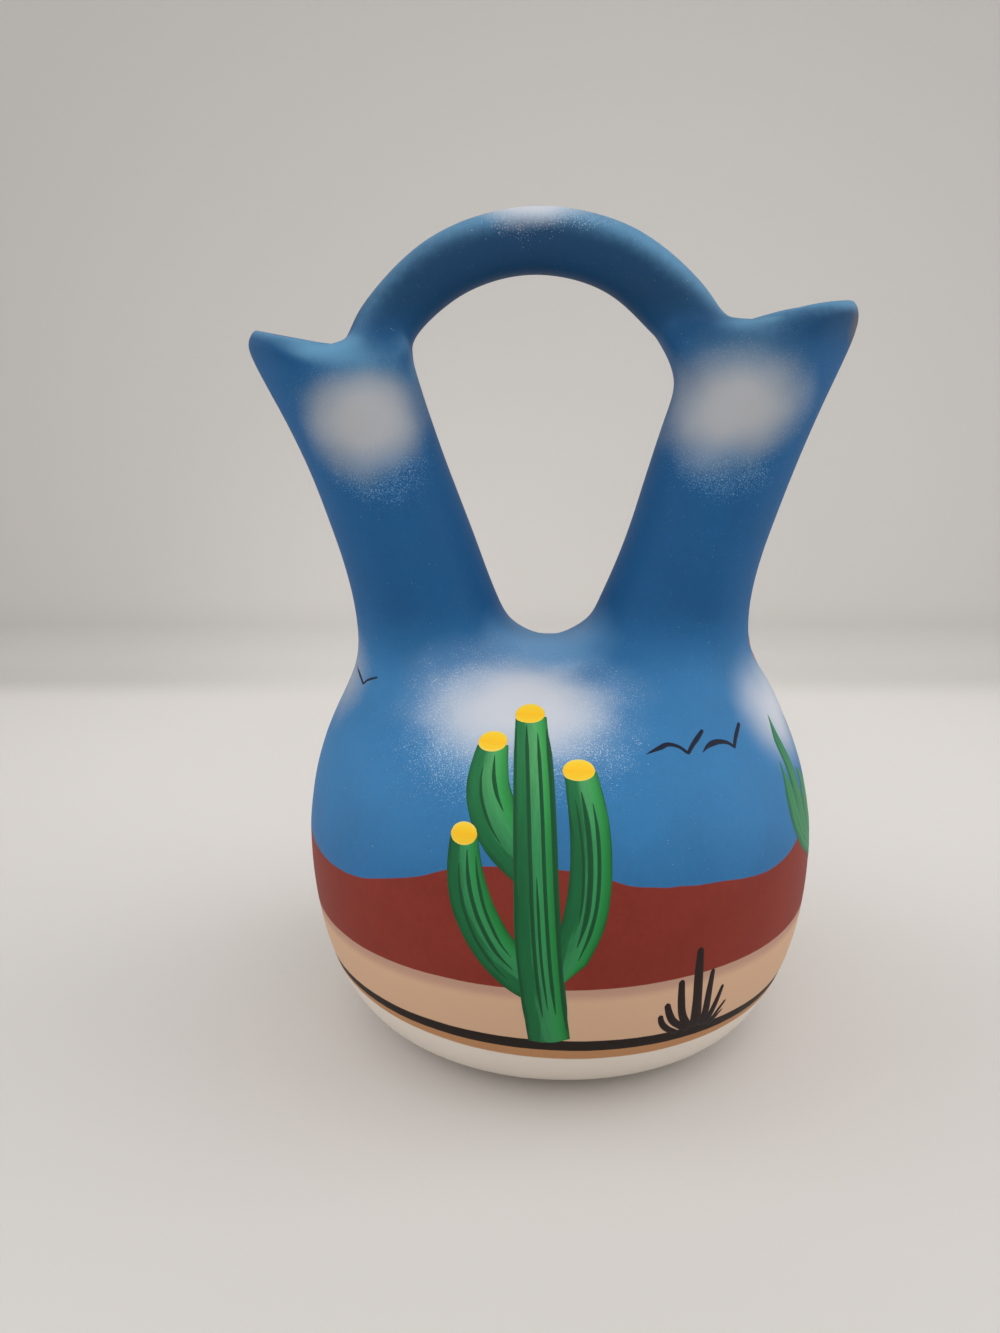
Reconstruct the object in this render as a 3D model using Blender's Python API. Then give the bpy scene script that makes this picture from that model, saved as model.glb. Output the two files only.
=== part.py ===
"""Wedding vase: a round clay pot with two leaning spouts and an arched handle between them.

The pot is built as a potter builds it, from parts that are luted together while the clay is stiff:
a foot slab, a lower bowl, a shoulder with two necks, two spouts and a handle.
Each face that meets a neighbour stops half a slip joint short of the seam.

Frame: metres, +Z up, origin at the centre of the flat foot. X runs through both spouts and the
front is at -Y. The left spout, at -X, is a little shorter than the right one, as on the real pot,
and the whole pot leans a touch to the left.

All the parts share one smooth skin. Rings of points lie on its outer and inner surface, and a
control cage is solved so that the subdivided surface passes through them. The fine skin is then
cut along the seams and each part is closed there. The two places where one tube becomes two, at
the saddle between the spouts and at the handle's roots, are strips of faces in that cage.
"""

import math

import bmesh
import bpy
import numpy as np
from mathutils import Vector

MM = 0.001

# Clay thickness and joints
WALL = 5.0 * MM
LIP = 4.4 * MM
LIP_HEIGHT = 3.2 * MM
SLIP = 0.3 * MM
LEAN = 0.0091

# Foot slab
FOOT_RADIUS = 48.0 * MM
SLAB_THICKNESS = 6.5 * MM
SLAB_TOP_RADIUS = 61.8 * MM

# Rings of the outer body: height at the sides, height at the front, half width, half depth
BELLY = (59.5, 59.5, 79.2, 79.2)
LOWER_PROFILE = ((20.0, 20.0, 71.7, 71.7), (39.0, 39.0, 77.4, 77.4), BELLY)
SHOULDER_PROFILE = ((73.5, 75.0, 78.2, 77.9), (86.5, 91.0, 75.3, 71.2), (98.5, 105.0, 70.7, 57.5))
NECK_PROFILE = (109.5, 116.0, 65.4, 38.5)

# Saddle between the spouts: half its width, then (distance from the middle, height).
# Inside, it is wider by a share of the wall and its points draw together by a share.
SADDLE_X = -3.6 * MM
SADDLE_HALF_WIDTH = 6.0 * MM
SADDLE_PROFILE = ((20.0, 120.5), (6.7, 123.8))
INNER_SADDLE_WIDENING = 0.5
INNER_SADDLE_DRAW = 0.96

# Sections across each spout: inner x and z, outer x and z, half depth
RIGHT_SECTIONS = (
    (11.5, 135.0, 58.1, 122.0, 22.8),
    (18.6, 153.0, 58.4, 140.0, 21.0),
    (24.1, 171.0, 62.9, 158.0, 20.4),
    (29.8, 189.5, 69.3, 177.0, 20.4),
    (32.2, 201.5, 77.0, 196.5, 20.3),
)
LEFT_SECTIONS = (
    (-19.7, 135.0, -63.4, 122.0, 22.8),
    (-26.5, 153.0, -65.5, 140.0, 21.0),
    (-33.2, 171.0, -70.6, 158.0, 20.4),
    (-39.2, 188.0, -76.6, 175.0, 20.4),
    (-43.4, 201.0, -83.6, 190.5, 20.3),
)
# The bore follows this many sections from the bottom, skips one and follows the rest
BORE_RINGS = 2
# The collar under each rim, as one more section
RIGHT_COLLAR = (35.0, 212.0, 83.4, 212.5, 19.6)
LEFT_COLLAR = (-52.0, 208.0, -91.0, 205.5, 19.6)

# Rims: x and z where the rim meets the handle, x and z of the tip, rise of the middle
RIGHT_RIM = (50.0, 217.6, 84.7, 223.7, 1.4)
LEFT_RIM = (-65.5, 211.3, -92.7, 215.4, 0.0)
RIM_HALF_DEPTH = 19.0 * MM
# The bore's throat lies this share of the way from its last section to the rim
THROAT = 0.62
# The lip's outside rises towards the handle: by this share of its height, with this easing
LIP_TUCK = 1.05
TUCK_EASE = 0.8
# The fillet between rim and handle: share of the way to the handle, and its hollow
FILLET = 0.45
FILLET_HOLLOW = 0.8 * MM

# Handle, a round coil bent to an arc in the XZ plane
ARCH_X = -7.6 * MM
ARCH_Z = 187.55 * MM
ARCH_OUTER_RADIUS = 62.5 * MM
RIGHT_ROOT = math.radians(34.0)
LEFT_ROOT = math.radians(151.0)
ROOT_LENGTH = math.radians(8.0)
RIGHT_THICKNESS = 20.3 * MM
LEFT_THICKNESS = 17.6 * MM
ROOT_THICKNESS = 20.0 * MM
COIL_HALF_DEPTH = 9.6 * MM
ROOT_HALF_DEPTH = 13.5 * MM
COIL_RINGS = 5

# Mesh
BODY_POINTS = 12
SPOUT_POINTS = 10
COIL_POINTS = 8
PATCH_CORE = 0.36
FLOOR_PATCH = 0.68
SMOOTH_LEVELS = 2
CREASE = 1.0

PIECES = ("foot_slab", "lower_bowl", "shoulder", "left_spout", "right_spout", "handle")
COLOURS = {
    "foot_slab": (0.72, 0.66, 0.58),
    "lower_bowl": (0.42, 0.055, 0.035),
    "shoulder": (0.045, 0.20, 0.42),
    "left_spout": (0.035, 0.16, 0.36),
    "right_spout": (0.035, 0.16, 0.36),
    "handle": (0.03, 0.13, 0.30),
}


def mix(start, end, share):
    """The value this share of the way from start to end."""
    return start + (end - start) * share


class Cage:
    """Points that the finished surface passes through, and the quads between them."""

    def __init__(self):
        self.targets = []
        self.faces = []
        self.owners = []
        self.creases = []

    def add(self, points):
        """Adds points and returns their numbers."""
        first = len(self.targets)
        self.targets += [Vector(point) for point in points]
        return list(range(first, len(self.targets)))

    def face(self, corners, piece, inside):
        """Adds a face. Corners run anticlockwise seen from outside an outer skin."""
        self.faces.append(tuple(reversed(corners)) if inside else tuple(corners))
        self.owners.append(PIECES.index(piece))

    def band(self, lower, upper, piece, inside=False):
        """Quads between two rings that hold as many points each."""
        for i in range(len(lower)):
            j = (i + 1) % len(lower)
            self.face((lower[i], lower[j], upper[j], upper[i]), piece, inside)

    def strip(self, left, right, piece, inside=False):
        """Quads between two open rows of points."""
        for i in range(len(left) - 1):
            self.face((left[i], right[i], right[i + 1], left[i + 1]), piece, inside)

    def patch(self, ring, piece, inside=False):
        """A flat grid of nine quads inside a ring of twelve points."""
        corners = [self.targets[number] for number in ring[1::3]]
        middle = sum(corners, Vector()) / 4
        core = self.add([middle.lerp(corner, PATCH_CORE) for corner in corners])
        edge = ring[1:] + ring[:1]
        grid = [
            [edge[0], edge[1], edge[2], edge[3]],
            [edge[11], core[0], core[1], edge[4]],
            [edge[10], core[3], core[2], edge[5]],
            [edge[9], edge[8], edge[7], edge[6]],
        ]
        for row in range(3):
            for i in range(3):
                corners = (grid[row][i], grid[row][i + 1], grid[row + 1][i + 1], grid[row + 1][i])
                self.face(corners, piece, inside)

    def crease(self, ring):
        self.creases += [tuple(sorted(pair)) for pair in zip(ring, ring[1:] + ring[:1])]


def body_ring(ring):
    """An oval ring of the body, starting half a step from +X. Its height eases to the front."""
    side_z, front_z, half_width, half_depth = (value * MM for value in ring)
    points = []
    for i in range(BODY_POINTS):
        angle = 2 * math.pi * (i + 0.5) / BODY_POINTS
        z = mix(front_z, side_z, math.cos(angle) ** 2)
        x = half_width * math.cos(angle) - LEAN * z
        points.append((x, half_depth * math.sin(angle), z))
    return points


def flat_ring(radius, z):
    return body_ring((z / MM, z / MM, radius / MM, radius / MM))


def inner_ring(below, ring, above):
    """The ring on the inside of the wall, square to the slope between the rings below and above."""
    inside = list(ring)
    for height, reach in ((0, 2), (1, 3)):
        rise = above[height] - below[height]
        run = above[reach] - below[reach]
        length = math.hypot(rise, run)
        inside[height] += WALL / MM * run / length
        inside[reach] -= WALL / MM * rise / length
    return inside


def spout_turns(side):
    """The angles of a spout's points, 0 at the outer side, anticlockwise seen from above."""
    step = 2 * math.pi / SPOUT_POINTS
    return [side * (step * i - math.pi / 2) for i in range(SPOUT_POINTS)]


def spout_ring(side, section, inset=0.0):
    """A flat ellipse across a spout, made smaller by the inset."""
    inner_x, inner_z, outer_x, outer_z, half_depth = (value * MM for value in section)
    inner = Vector((inner_x, 0, inner_z))
    outer = Vector((outer_x, 0, outer_z))
    middle = (inner + outer) / 2
    reach = (outer - inner) / 2
    reach *= (reach.length - inset) / reach.length
    depth = Vector((0, half_depth - inset, 0))
    return [middle + reach * math.cos(turn) + depth * math.sin(turn) for turn in spout_turns(side)]


def rim_ring(side, rim, inset, drop, tuck):
    """A ring of the lip, this far in from its outside and below its top.

    Tuck says how much of the drop is left out where the rim runs into the handle."""
    root_x, root_z, tip_x, tip_z, rise = (value * MM for value in rim)
    points = []
    for turn in spout_turns(side):
        share = (1 + math.cos(turn)) / 2
        x = mix(root_x, tip_x, share) - side * inset * math.cos(turn)
        z = mix(root_z, tip_z, share) + rise * math.sin(math.pi * share)
        z -= drop * (1 - tuck * max(0.0, -math.cos(turn)) ** TUCK_EASE)
        points.append((x, (RIM_HALF_DEPTH - inset) * math.sin(turn), z))
    return points


def coil_thickness(angle):
    share = (angle - RIGHT_ROOT) / (LEFT_ROOT - RIGHT_ROOT)
    return mix(RIGHT_THICKNESS, LEFT_THICKNESS, share)


def coil_ring(angle, thickness, half_depth):
    """A section across the handle, from its underside at the back round to the front."""
    half = thickness / 2
    outward = Vector((math.cos(angle), 0, math.sin(angle)))
    middle = Vector((ARCH_X, 0, ARCH_Z)) + outward * (ARCH_OUTER_RADIUS - half)
    points = []
    for i in range(COIL_POINTS):
        turn = 2 * math.pi * (i + 2.5) / COIL_POINTS
        points.append(
            middle + outward * half * math.cos(turn) + Vector((0, half_depth * math.sin(turn), 0))
        )
    return points


def section_normal(section):
    """The upward normal of a spout's section."""
    inner_x, inner_z, outer_x, outer_z, _ = section
    normal = Vector((inner_z - outer_z, 0, outer_x - inner_x)).normalized()
    return normal if normal.z > 0 else -normal


def saddle_rows(cage, wall, draw):
    """The two rows of points across the saddle, left and right, each from front to back.

    They lie this far below the outer skin and this share as far from the middle."""
    path = [(-y * draw * MM, z * MM - wall) for y, z in SADDLE_PROFILE]
    path += [(-y, z) for y, z in reversed(path)]
    half_width = SADDLE_HALF_WIDTH + wall * INNER_SADDLE_WIDENING
    rows = []
    for side in (-1, 1):
        x = SADDLE_X + side * half_width
        rows.append(cage.add([(x, y, z) for y, z in path]))
    return rows


def neck_loops(neck, left_row, right_row):
    """The loops of ten points that the left and the right spout grow from."""
    left = neck[3:9] + left_row
    right = neck[9:] + neck[:3] + right_row[::-1]
    return left, right


def build_outer_body(cage):
    """The outer skin up to the saddle. Returns the loops for the spouts and the seam rings."""
    foot = cage.add(flat_ring(FOOT_RADIUS, 0.0))
    cage.patch(foot, "foot_slab", inside=True)
    cage.crease(foot)
    slab = cage.add(flat_ring(SLAB_TOP_RADIUS, SLAB_THICKNESS))
    cage.band(foot, slab, "foot_slab")
    below = slab
    for ring in LOWER_PROFILE:
        above = cage.add(body_ring(ring))
        cage.band(below, above, "lower_bowl")
        below = above
    belly = below
    for ring in SHOULDER_PROFILE + (NECK_PROFILE,):
        above = cage.add(body_ring(ring))
        cage.band(below, above, "shoulder")
        below = above
    left_row, right_row = saddle_rows(cage, 0.0, 1.0)
    neck = below
    cage.strip([neck[8]] + left_row + [neck[3]], [neck[9]] + right_row + [neck[2]], "shoulder")
    return neck_loops(neck, left_row, right_row), slab, belly


def build_inner_body(cage):
    """The inner skin up to the saddle, in the same way, a wall's thickness in from the outer."""
    slab_top = (SLAB_THICKNESS / MM, SLAB_THICKNESS / MM, SLAB_TOP_RADIUS / MM, SLAB_TOP_RADIUS / MM)
    rings = (slab_top,) + LOWER_PROFILE + SHOULDER_PROFILE + (NECK_PROFILE,)
    slope = math.hypot(rings[1][0] - slab_top[0], rings[1][2] - slab_top[2])
    floor_radius = SLAB_TOP_RADIUS - WALL * slope / (rings[1][0] - slab_top[0])
    middle = cage.add(flat_ring(floor_radius * FLOOR_PATCH, SLAB_THICKNESS))
    cage.patch(middle, "foot_slab")
    floor = cage.add(flat_ring(floor_radius, SLAB_THICKNESS))
    cage.band(middle, floor, "foot_slab", inside=True)
    below = floor
    for lower, ring, upper in zip(rings, LOWER_PROFILE, rings[2:]):
        above = cage.add(body_ring(inner_ring(lower, ring, upper)))
        cage.band(below, above, "lower_bowl", inside=True)
        below = above
    belly = below
    shoulder = inner_ring(*SHOULDER_PROFILE)
    neck = inner_ring(SHOULDER_PROFILE[-1], NECK_PROFILE, NECK_PROFILE)
    for ring in (shoulder, neck):
        above = cage.add(body_ring(ring))
        cage.band(below, above, "shoulder", inside=True)
        below = above
    left_row, right_row = saddle_rows(cage, WALL, INNER_SADDLE_DRAW)
    neck = below
    left_line = [neck[8]] + left_row + [neck[3]]
    right_line = [neck[9]] + right_row + [neck[2]]
    cage.strip(left_line, right_line, "shoulder", inside=True)
    return neck_loops(neck, left_row, right_row), floor, belly


def build_spout(cage, side, outer_loop, inner_loop):
    """One spout with its lip, bore and handle stub. Returns its seam rings, the stub's last."""
    name = "right_spout" if side > 0 else "left_spout"
    sections = RIGHT_SECTIONS if side > 0 else LEFT_SECTIONS
    collar = RIGHT_COLLAR if side > 0 else LEFT_COLLAR
    rim = RIGHT_RIM if side > 0 else LEFT_RIM
    root_angle = RIGHT_ROOT if side > 0 else LEFT_ROOT

    outer = [cage.add(spout_ring(side, section)) for section in sections]
    cage.band(outer_loop, outer[0], "shoulder")
    for lower, upper in zip(outer, outer[1:]):
        cage.band(lower, upper, name)

    # The collar's outer six points are the spout's, the other four start the handle's underside
    root = cage.add(coil_ring(root_angle, ROOT_THICKNESS, ROOT_HALF_DEPTH))
    under = root[:4] if side > 0 else root[3::-1]
    over = root[:3:-1] if side > 0 else root[4:]
    front_half = cage.add(spout_ring(side, collar)[:6])
    cage.band(outer[-1], front_half + under, name)

    # The lip, joined to the handle's upper side by a strip
    lip_outer = rim_ring(side, rim, 0.0, LIP_HEIGHT, LIP_TUCK)
    lip_top = cage.add(rim_ring(side, rim, LIP / 2, 0.0, 0.0))
    lip_inner = cage.add(rim_ring(side, rim, LIP, LIP_HEIGHT, 0.0))
    fillet = []
    for lip_point, coil_point in zip(lip_outer[6:], over):
        point = Vector(lip_point).lerp(cage.targets[coil_point], FILLET)
        fillet.append(point - Vector((0, 0, FILLET_HOLLOW)))
    fillet = cage.add(fillet)
    lip_outer = cage.add(lip_outer)
    near = [front_half[5]] + fillet + [front_half[0]]
    far = [under[0]] + over + [under[3]]
    cage.strip(near, far, name)
    cage.band(front_half + fillet, lip_outer, name)
    cage.band(lip_outer, lip_top, name)
    cage.band(lip_top, lip_inner, name)

    # The bore
    bore_sections = sections[:BORE_RINGS] + sections[BORE_RINGS + 1 :]
    bore = [cage.add(spout_ring(side, section, WALL)) for section in bore_sections]
    cage.band(inner_loop, bore[0], "shoulder", inside=True)
    throat = [
        cage.targets[low].lerp(cage.targets[high], THROAT)
        for low, high in zip(bore[-1], lip_inner)
    ]
    bore.append(cage.add(throat))
    bore.append(lip_inner)
    for lower, upper in zip(bore, bore[1:]):
        cage.band(lower, upper, name, inside=True)

    # The stub that the coil is luted to
    end_angle = root_angle + side * ROOT_LENGTH
    end = cage.add(coil_ring(end_angle, coil_thickness(end_angle), COIL_HALF_DEPTH))
    if side > 0:
        cage.band(root, end, name)
    else:
        cage.band(end, root, name)
    return outer[0], bore[0], end


def build_handle(cage, right_end, left_end):
    """The coil from the right stub over to the left one."""
    below = right_end
    for i in range(COIL_RINGS):
        share = (i + 1) / (COIL_RINGS + 1)
        angle = mix(RIGHT_ROOT + ROOT_LENGTH, LEFT_ROOT - ROOT_LENGTH, share)
        above = cage.add(coil_ring(angle, coil_thickness(angle), COIL_HALF_DEPTH))
        cage.band(below, above, "handle")
        below = above
    cage.band(below, left_end, "handle")


def solve_cage(cage):
    """Control points whose smooth subdivision surface passes through every target point."""
    count = len(cage.targets)
    neighbours = [set() for _ in range(count)]
    corners = [[] for _ in range(count)]
    for face in cage.faces:
        for i, here in enumerate(face):
            neighbours[here] |= {face[i - 1], face[(i + 1) % 4]}
            corners[here].append(face[(i + 2) % 4])
    sharp = [set() for _ in range(count)]
    for start, end in cage.creases:
        sharp[start].add(end)
        sharp[end].add(start)
    matrix = np.zeros((count, count))
    for here in range(count):
        if sharp[here]:
            matrix[here, here] = 4 / 6
            for other in sharp[here]:
                matrix[here, other] = 1 / 6
            continue
        valence = len(neighbours[here])
        total = valence * (valence + 5)
        matrix[here, here] = valence * valence / total
        for other in neighbours[here]:
            matrix[here, other] += 4 / total
        for other in corners[here]:
            matrix[here, other] += 1 / total
    return np.linalg.solve(matrix, np.array([tuple(point) for point in cage.targets]))


def smooth_skin(cage):
    """The subdivided skin as a mesh. Each face keeps its part's number as its material."""
    mesh = bpy.data.meshes.new("skin_cage")
    mesh.from_pydata([tuple(point) for point in solve_cage(cage)], [], cage.faces)
    for piece in PIECES:
        mesh.materials.append(None)
    for polygon, owner in zip(mesh.polygons, cage.owners):
        polygon.material_index = owner
    creases = mesh.attributes.new("crease_edge", "FLOAT", "EDGE")
    marked = set(cage.creases)
    for edge in mesh.edges:
        if tuple(sorted(edge.vertices)) in marked:
            creases.data[edge.index].value = CREASE
    skin = bpy.data.objects.new("skin_cage", mesh)
    bpy.context.scene.collection.objects.link(skin)
    smooth = skin.modifiers.new("smooth", "SUBSURF")
    smooth.levels = SMOOTH_LEVELS
    smooth.render_levels = SMOOTH_LEVELS
    smooth.use_limit_surface = True
    bpy.context.view_layer.update()
    fine = bpy.data.meshes.new_from_object(skin.evaluated_get(bpy.context.evaluated_depsgraph_get()))
    bpy.data.objects.remove(skin)
    return fine


def edge_walk(links, start, towards):
    """The vertices of an open boundary loop, in order, from one corner towards the next."""
    for first in links[start]:
        walk = [start, first]
        while walk[-1] != start:
            onward = [other for other in links[walk[-1]] if other != walk[-2]]
            walk.append(onward[0])
        walk.pop()
        if towards in walk[: len(walk) // 2]:
            return walk
    raise ValueError("a seam doesn't reach its next corner")


def close_seam(bm, vertices, links, seam, shift):
    """Closes a part at one seam with a ring of quads, or a fan where the clay is solid."""
    walks = []
    for ring in seam["rings"]:
        walk = edge_walk(links, ring[0], ring[1])
        for index in walk:
            vertices[index].co += shift
        walks.append([vertices[index] for index in walk])
    outer = walks[0]
    count = len(outer)
    if len(walks) == 1:
        centre = bm.verts.new(sum((vertex.co for vertex in outer), Vector()) / count)
        for i in range(count):
            bm.faces.new((outer[i], outer[(i + 1) % count], centre))
        return
    inner = walks[1]
    for i in range(count):
        j = (i + 1) % count
        bm.faces.new((outer[i], outer[j], inner[j], inner[i]))


def make_piece(fine, name, seams):
    """One part: its share of the skin, closed at its seams, with its own material."""
    number = PIECES.index(name)
    bm = bmesh.new()
    vertices = {}
    for polygon in fine.polygons:
        if polygon.material_index != number:
            continue
        corners = []
        for index in polygon.vertices:
            if index not in vertices:
                vertices[index] = bm.verts.new(fine.vertices[index].co)
            corners.append(vertices[index])
        bm.faces.new(corners)
    names = {vertex: index for index, vertex in vertices.items()}
    links = {}
    for edge in bm.edges:
        if len(edge.link_faces) == 1:
            start, end = (names[vertex] for vertex in edge.verts)
            links.setdefault(start, []).append(end)
            links.setdefault(end, []).append(start)
    for seam in seams:
        for owner, sign in ((seam["below"], -1), (seam["above"], 1)):
            if owner == name:
                close_seam(bm, vertices, links, seam, seam["normal"] * SLIP / 2 * sign)
    bmesh.ops.recalc_face_normals(bm, faces=bm.faces[:])
    for face in bm.faces:
        face.smooth = True
    mesh = bpy.data.meshes.new(name)
    bm.to_mesh(mesh)
    bm.free()
    mesh.materials.append(clay_paint(name))
    part = bpy.data.objects.new(name, mesh)
    bpy.context.scene.collection.objects.link(part)


def clay_paint(name):
    """A matt painted clay for one part."""
    material = bpy.data.materials.new(name + "_clay")
    material.use_nodes = True
    shader = material.node_tree.nodes["Principled BSDF"]
    shader.inputs["Base Color"].default_value = (*COLOURS[name], 1.0)
    shader.inputs["Roughness"].default_value = 0.75
    return material


def main():
    for old in list(bpy.data.objects):
        bpy.data.objects.remove(old)
    cage = Cage()
    (left_outer, right_outer), slab, outer_belly = build_outer_body(cage)
    (left_inner, right_inner), floor, inner_belly = build_inner_body(cage)
    left_ring, left_bore, left_end = build_spout(cage, -1, left_outer, left_inner)
    right_ring, right_bore, right_end = build_spout(cage, 1, right_outer, right_inner)
    build_handle(cage, right_end, left_end)
    fine = smooth_skin(cage)

    def along_arch(angle):
        return Vector((-math.sin(angle), 0, math.cos(angle)))

    up = Vector((0, 0, 1))
    seams = [
        {"below": "foot_slab", "above": "lower_bowl", "rings": (slab, floor), "normal": up},
        {
            "below": "lower_bowl",
            "above": "shoulder",
            "rings": (outer_belly, inner_belly),
            "normal": up,
        },
        {
            "below": "shoulder",
            "above": "left_spout",
            "rings": (left_ring, left_bore),
            "normal": section_normal(LEFT_SECTIONS[0]),
        },
        {
            "below": "shoulder",
            "above": "right_spout",
            "rings": (right_ring, right_bore),
            "normal": section_normal(RIGHT_SECTIONS[0]),
        },
        {
            "below": "right_spout",
            "above": "handle",
            "rings": (right_end,),
            "normal": along_arch(RIGHT_ROOT + ROOT_LENGTH),
        },
        {
            "below": "handle",
            "above": "left_spout",
            "rings": (left_end,),
            "normal": along_arch(LEFT_ROOT - ROOT_LENGTH),
        },
    ]
    for name in PIECES:
        make_piece(fine, name, seams)
    bpy.data.meshes.remove(fine)


main()
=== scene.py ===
import math

import bmesh
import bpy
import numpy as np
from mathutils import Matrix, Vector, noise
from mathutils.bvhtree import BVHTree


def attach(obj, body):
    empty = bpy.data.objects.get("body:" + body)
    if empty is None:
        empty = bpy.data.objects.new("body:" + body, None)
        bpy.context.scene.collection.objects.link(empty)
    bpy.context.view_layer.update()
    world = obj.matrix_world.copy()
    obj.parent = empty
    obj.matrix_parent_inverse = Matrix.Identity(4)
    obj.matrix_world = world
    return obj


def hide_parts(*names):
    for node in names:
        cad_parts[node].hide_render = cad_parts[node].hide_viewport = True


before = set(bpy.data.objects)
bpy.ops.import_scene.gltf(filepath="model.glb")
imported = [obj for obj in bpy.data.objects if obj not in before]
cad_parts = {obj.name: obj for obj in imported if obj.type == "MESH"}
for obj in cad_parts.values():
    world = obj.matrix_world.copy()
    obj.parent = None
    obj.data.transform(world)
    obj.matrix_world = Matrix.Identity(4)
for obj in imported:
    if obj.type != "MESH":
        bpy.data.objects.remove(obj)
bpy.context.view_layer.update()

mm = 0.001
shownScene = bpy.context.scene


# A wedding vase in matt paint: six clay parts under one smooth skin, and a desert scene brushed on.
# Front of the scene is at -Y, the taller spout at +X.


def paint(red, green, blue):
    # screen colour to the shader's linear colour
    values = []
    for part in (red, green, blue):
        share = part / 255
        values.append(share / 12.92 if share < 0.04045 else ((share + 0.055) / 1.055) ** 2.4)
    return (*values, 1.0)


def mix(start, end, share):
    return start + (end - start) * share


def showObject(name, data):
    thing = bpy.data.objects.new(name, data)
    shownScene.collection.objects.link(thing)
    return thing


def addMarks(mesh, **marks):
    for label, values in marks.items():
        mesh.attributes.new(label, "FLOAT", "POINT").data.foreach_set("value", values)


# camera: the photo was taken from a little above, level and without shift
cameraView = dict(
    place=(-19.37 * mm, -393.73 * mm, 218.61 * mm),
    downwards=math.radians(14.945),
    focalPixels=1300.0,
    pictureHeight=1333.0,
    filmHeight=36.0,
)


def placeCamera():
    lens = bpy.data.cameras.new("photoCamera")
    lens.sensor_fit = "VERTICAL"
    lens.sensor_height = cameraView["filmHeight"]
    lens.lens = cameraView["focalPixels"] * cameraView["filmHeight"] / cameraView["pictureHeight"]
    lens.clip_start = 10 * mm
    holder = showObject("photoCamera", lens)
    holder.location = cameraView["place"]
    holder.rotation_euler = (math.pi / 2 - cameraView["downwards"], 0.0, 0.0)
    shownScene.camera = holder


placeCamera()
print("camera placed")


# the clay form. a profile row is the height at the sides, the height at the front and back, the half
# width and the half depth, in mm
potForm = dict(
    wall=5.0 * mm,
    lip=4.4 * mm,
    lipHeight=3.2 * mm,
    lean=0.0091,
    footRadius=48.0 * mm,
    slabThickness=6.5 * mm,
    slabTopRadius=61.8 * mm,
    lowerProfile=((20.0, 20.0, 71.7, 71.7), (39.0, 39.0, 77.4, 77.4), (59.5, 59.5, 79.2, 79.2)),
    shoulderProfile=(
        (73.5, 75.0, 78.2, 77.9),
        (86.5, 91.0, 75.3, 71.2),
        (98.5, 105.0, 70.7, 57.5),
    ),
    neckProfile=(109.5, 116.0, 65.4, 38.5),
    saddleX=-3.6 * mm,
    saddleHalfWidth=7.0 * mm,
    saddleProfile=((20.0, 120.5), (6.7, 123.8)),
    innerSaddleWidening=0.5,
    innerSaddleDraw=0.96,
    boreRings=2,
    rimHalfDepth=19.0 * mm,
    rimTilt=0.6 * mm,
    throat=0.62,
    lipTuck=1.05,
    tuckEase=0.8,
    fillet=0.45,
    filletHollow=0.8 * mm,
    bodyPoints=12,
    spoutPoints=10,
    coilPoints=8,
    patchCore=0.36,
    floorPatch=0.68,
    footBareness=0.25,
    lipBareness=0.05,
    throatBareness=0.5,
    smoothLevels=3,
)

# a spout's section is its inner point, its outer point and its half depth, in mm; the rim runs from
# the root at the handle to the tip and rises a little between them
rightSpout = dict(
    name="right_spout",
    sections=(
        (11.5, 135, 58.1, 122, 22.8), (18.6, 153, 58.4, 140, 21), (24.1, 171, 62.9, 158, 20.4),
        (29.8, 189.5, 69.3, 177, 20.4), (32.2, 201.5, 77, 196.5, 20.3),
    ),
    collar=(35, 212, 83.4, 212.5, 19.6),
    rim=(50, 217.6, 84.7, 223.7, 1.4),
    rootAngle=math.radians(34),
)

leftSpout = dict(
    name="left_spout",
    sections=(
        (-19.7, 135, -63.4, 122, 22.8), (-26.5, 153, -65.5, 140, 21), (-33.2, 171, -70.6, 158, 20.4),
        (-39.2, 188, -76.6, 175, 20.4), (-43.4, 201, -83.6, 190.5, 20.3),
    ),
    collar=(-52, 208, -91, 205.5, 19.6),
    rim=(-65.5, 211.3, -92.7, 215.4, 0),
    rootAngle=math.radians(151),
)

archForm = dict(
    middleX=-7.6 * mm,
    middleZ=187.55 * mm,
    outerRadius=62.5 * mm,
    rootLength=math.radians(8.0),
    rightThickness=20.3 * mm,
    leftThickness=17.6 * mm,
    rootThickness=20.0 * mm,
    coilHalfDepth=9.6 * mm,
    rootHalfDepth=13.5 * mm,
    coilRings=5,
    squareness=2.25,
)

clayParts = ("foot_slab", "lower_bowl", "shoulder", "left_spout", "right_spout", "handle")


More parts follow.
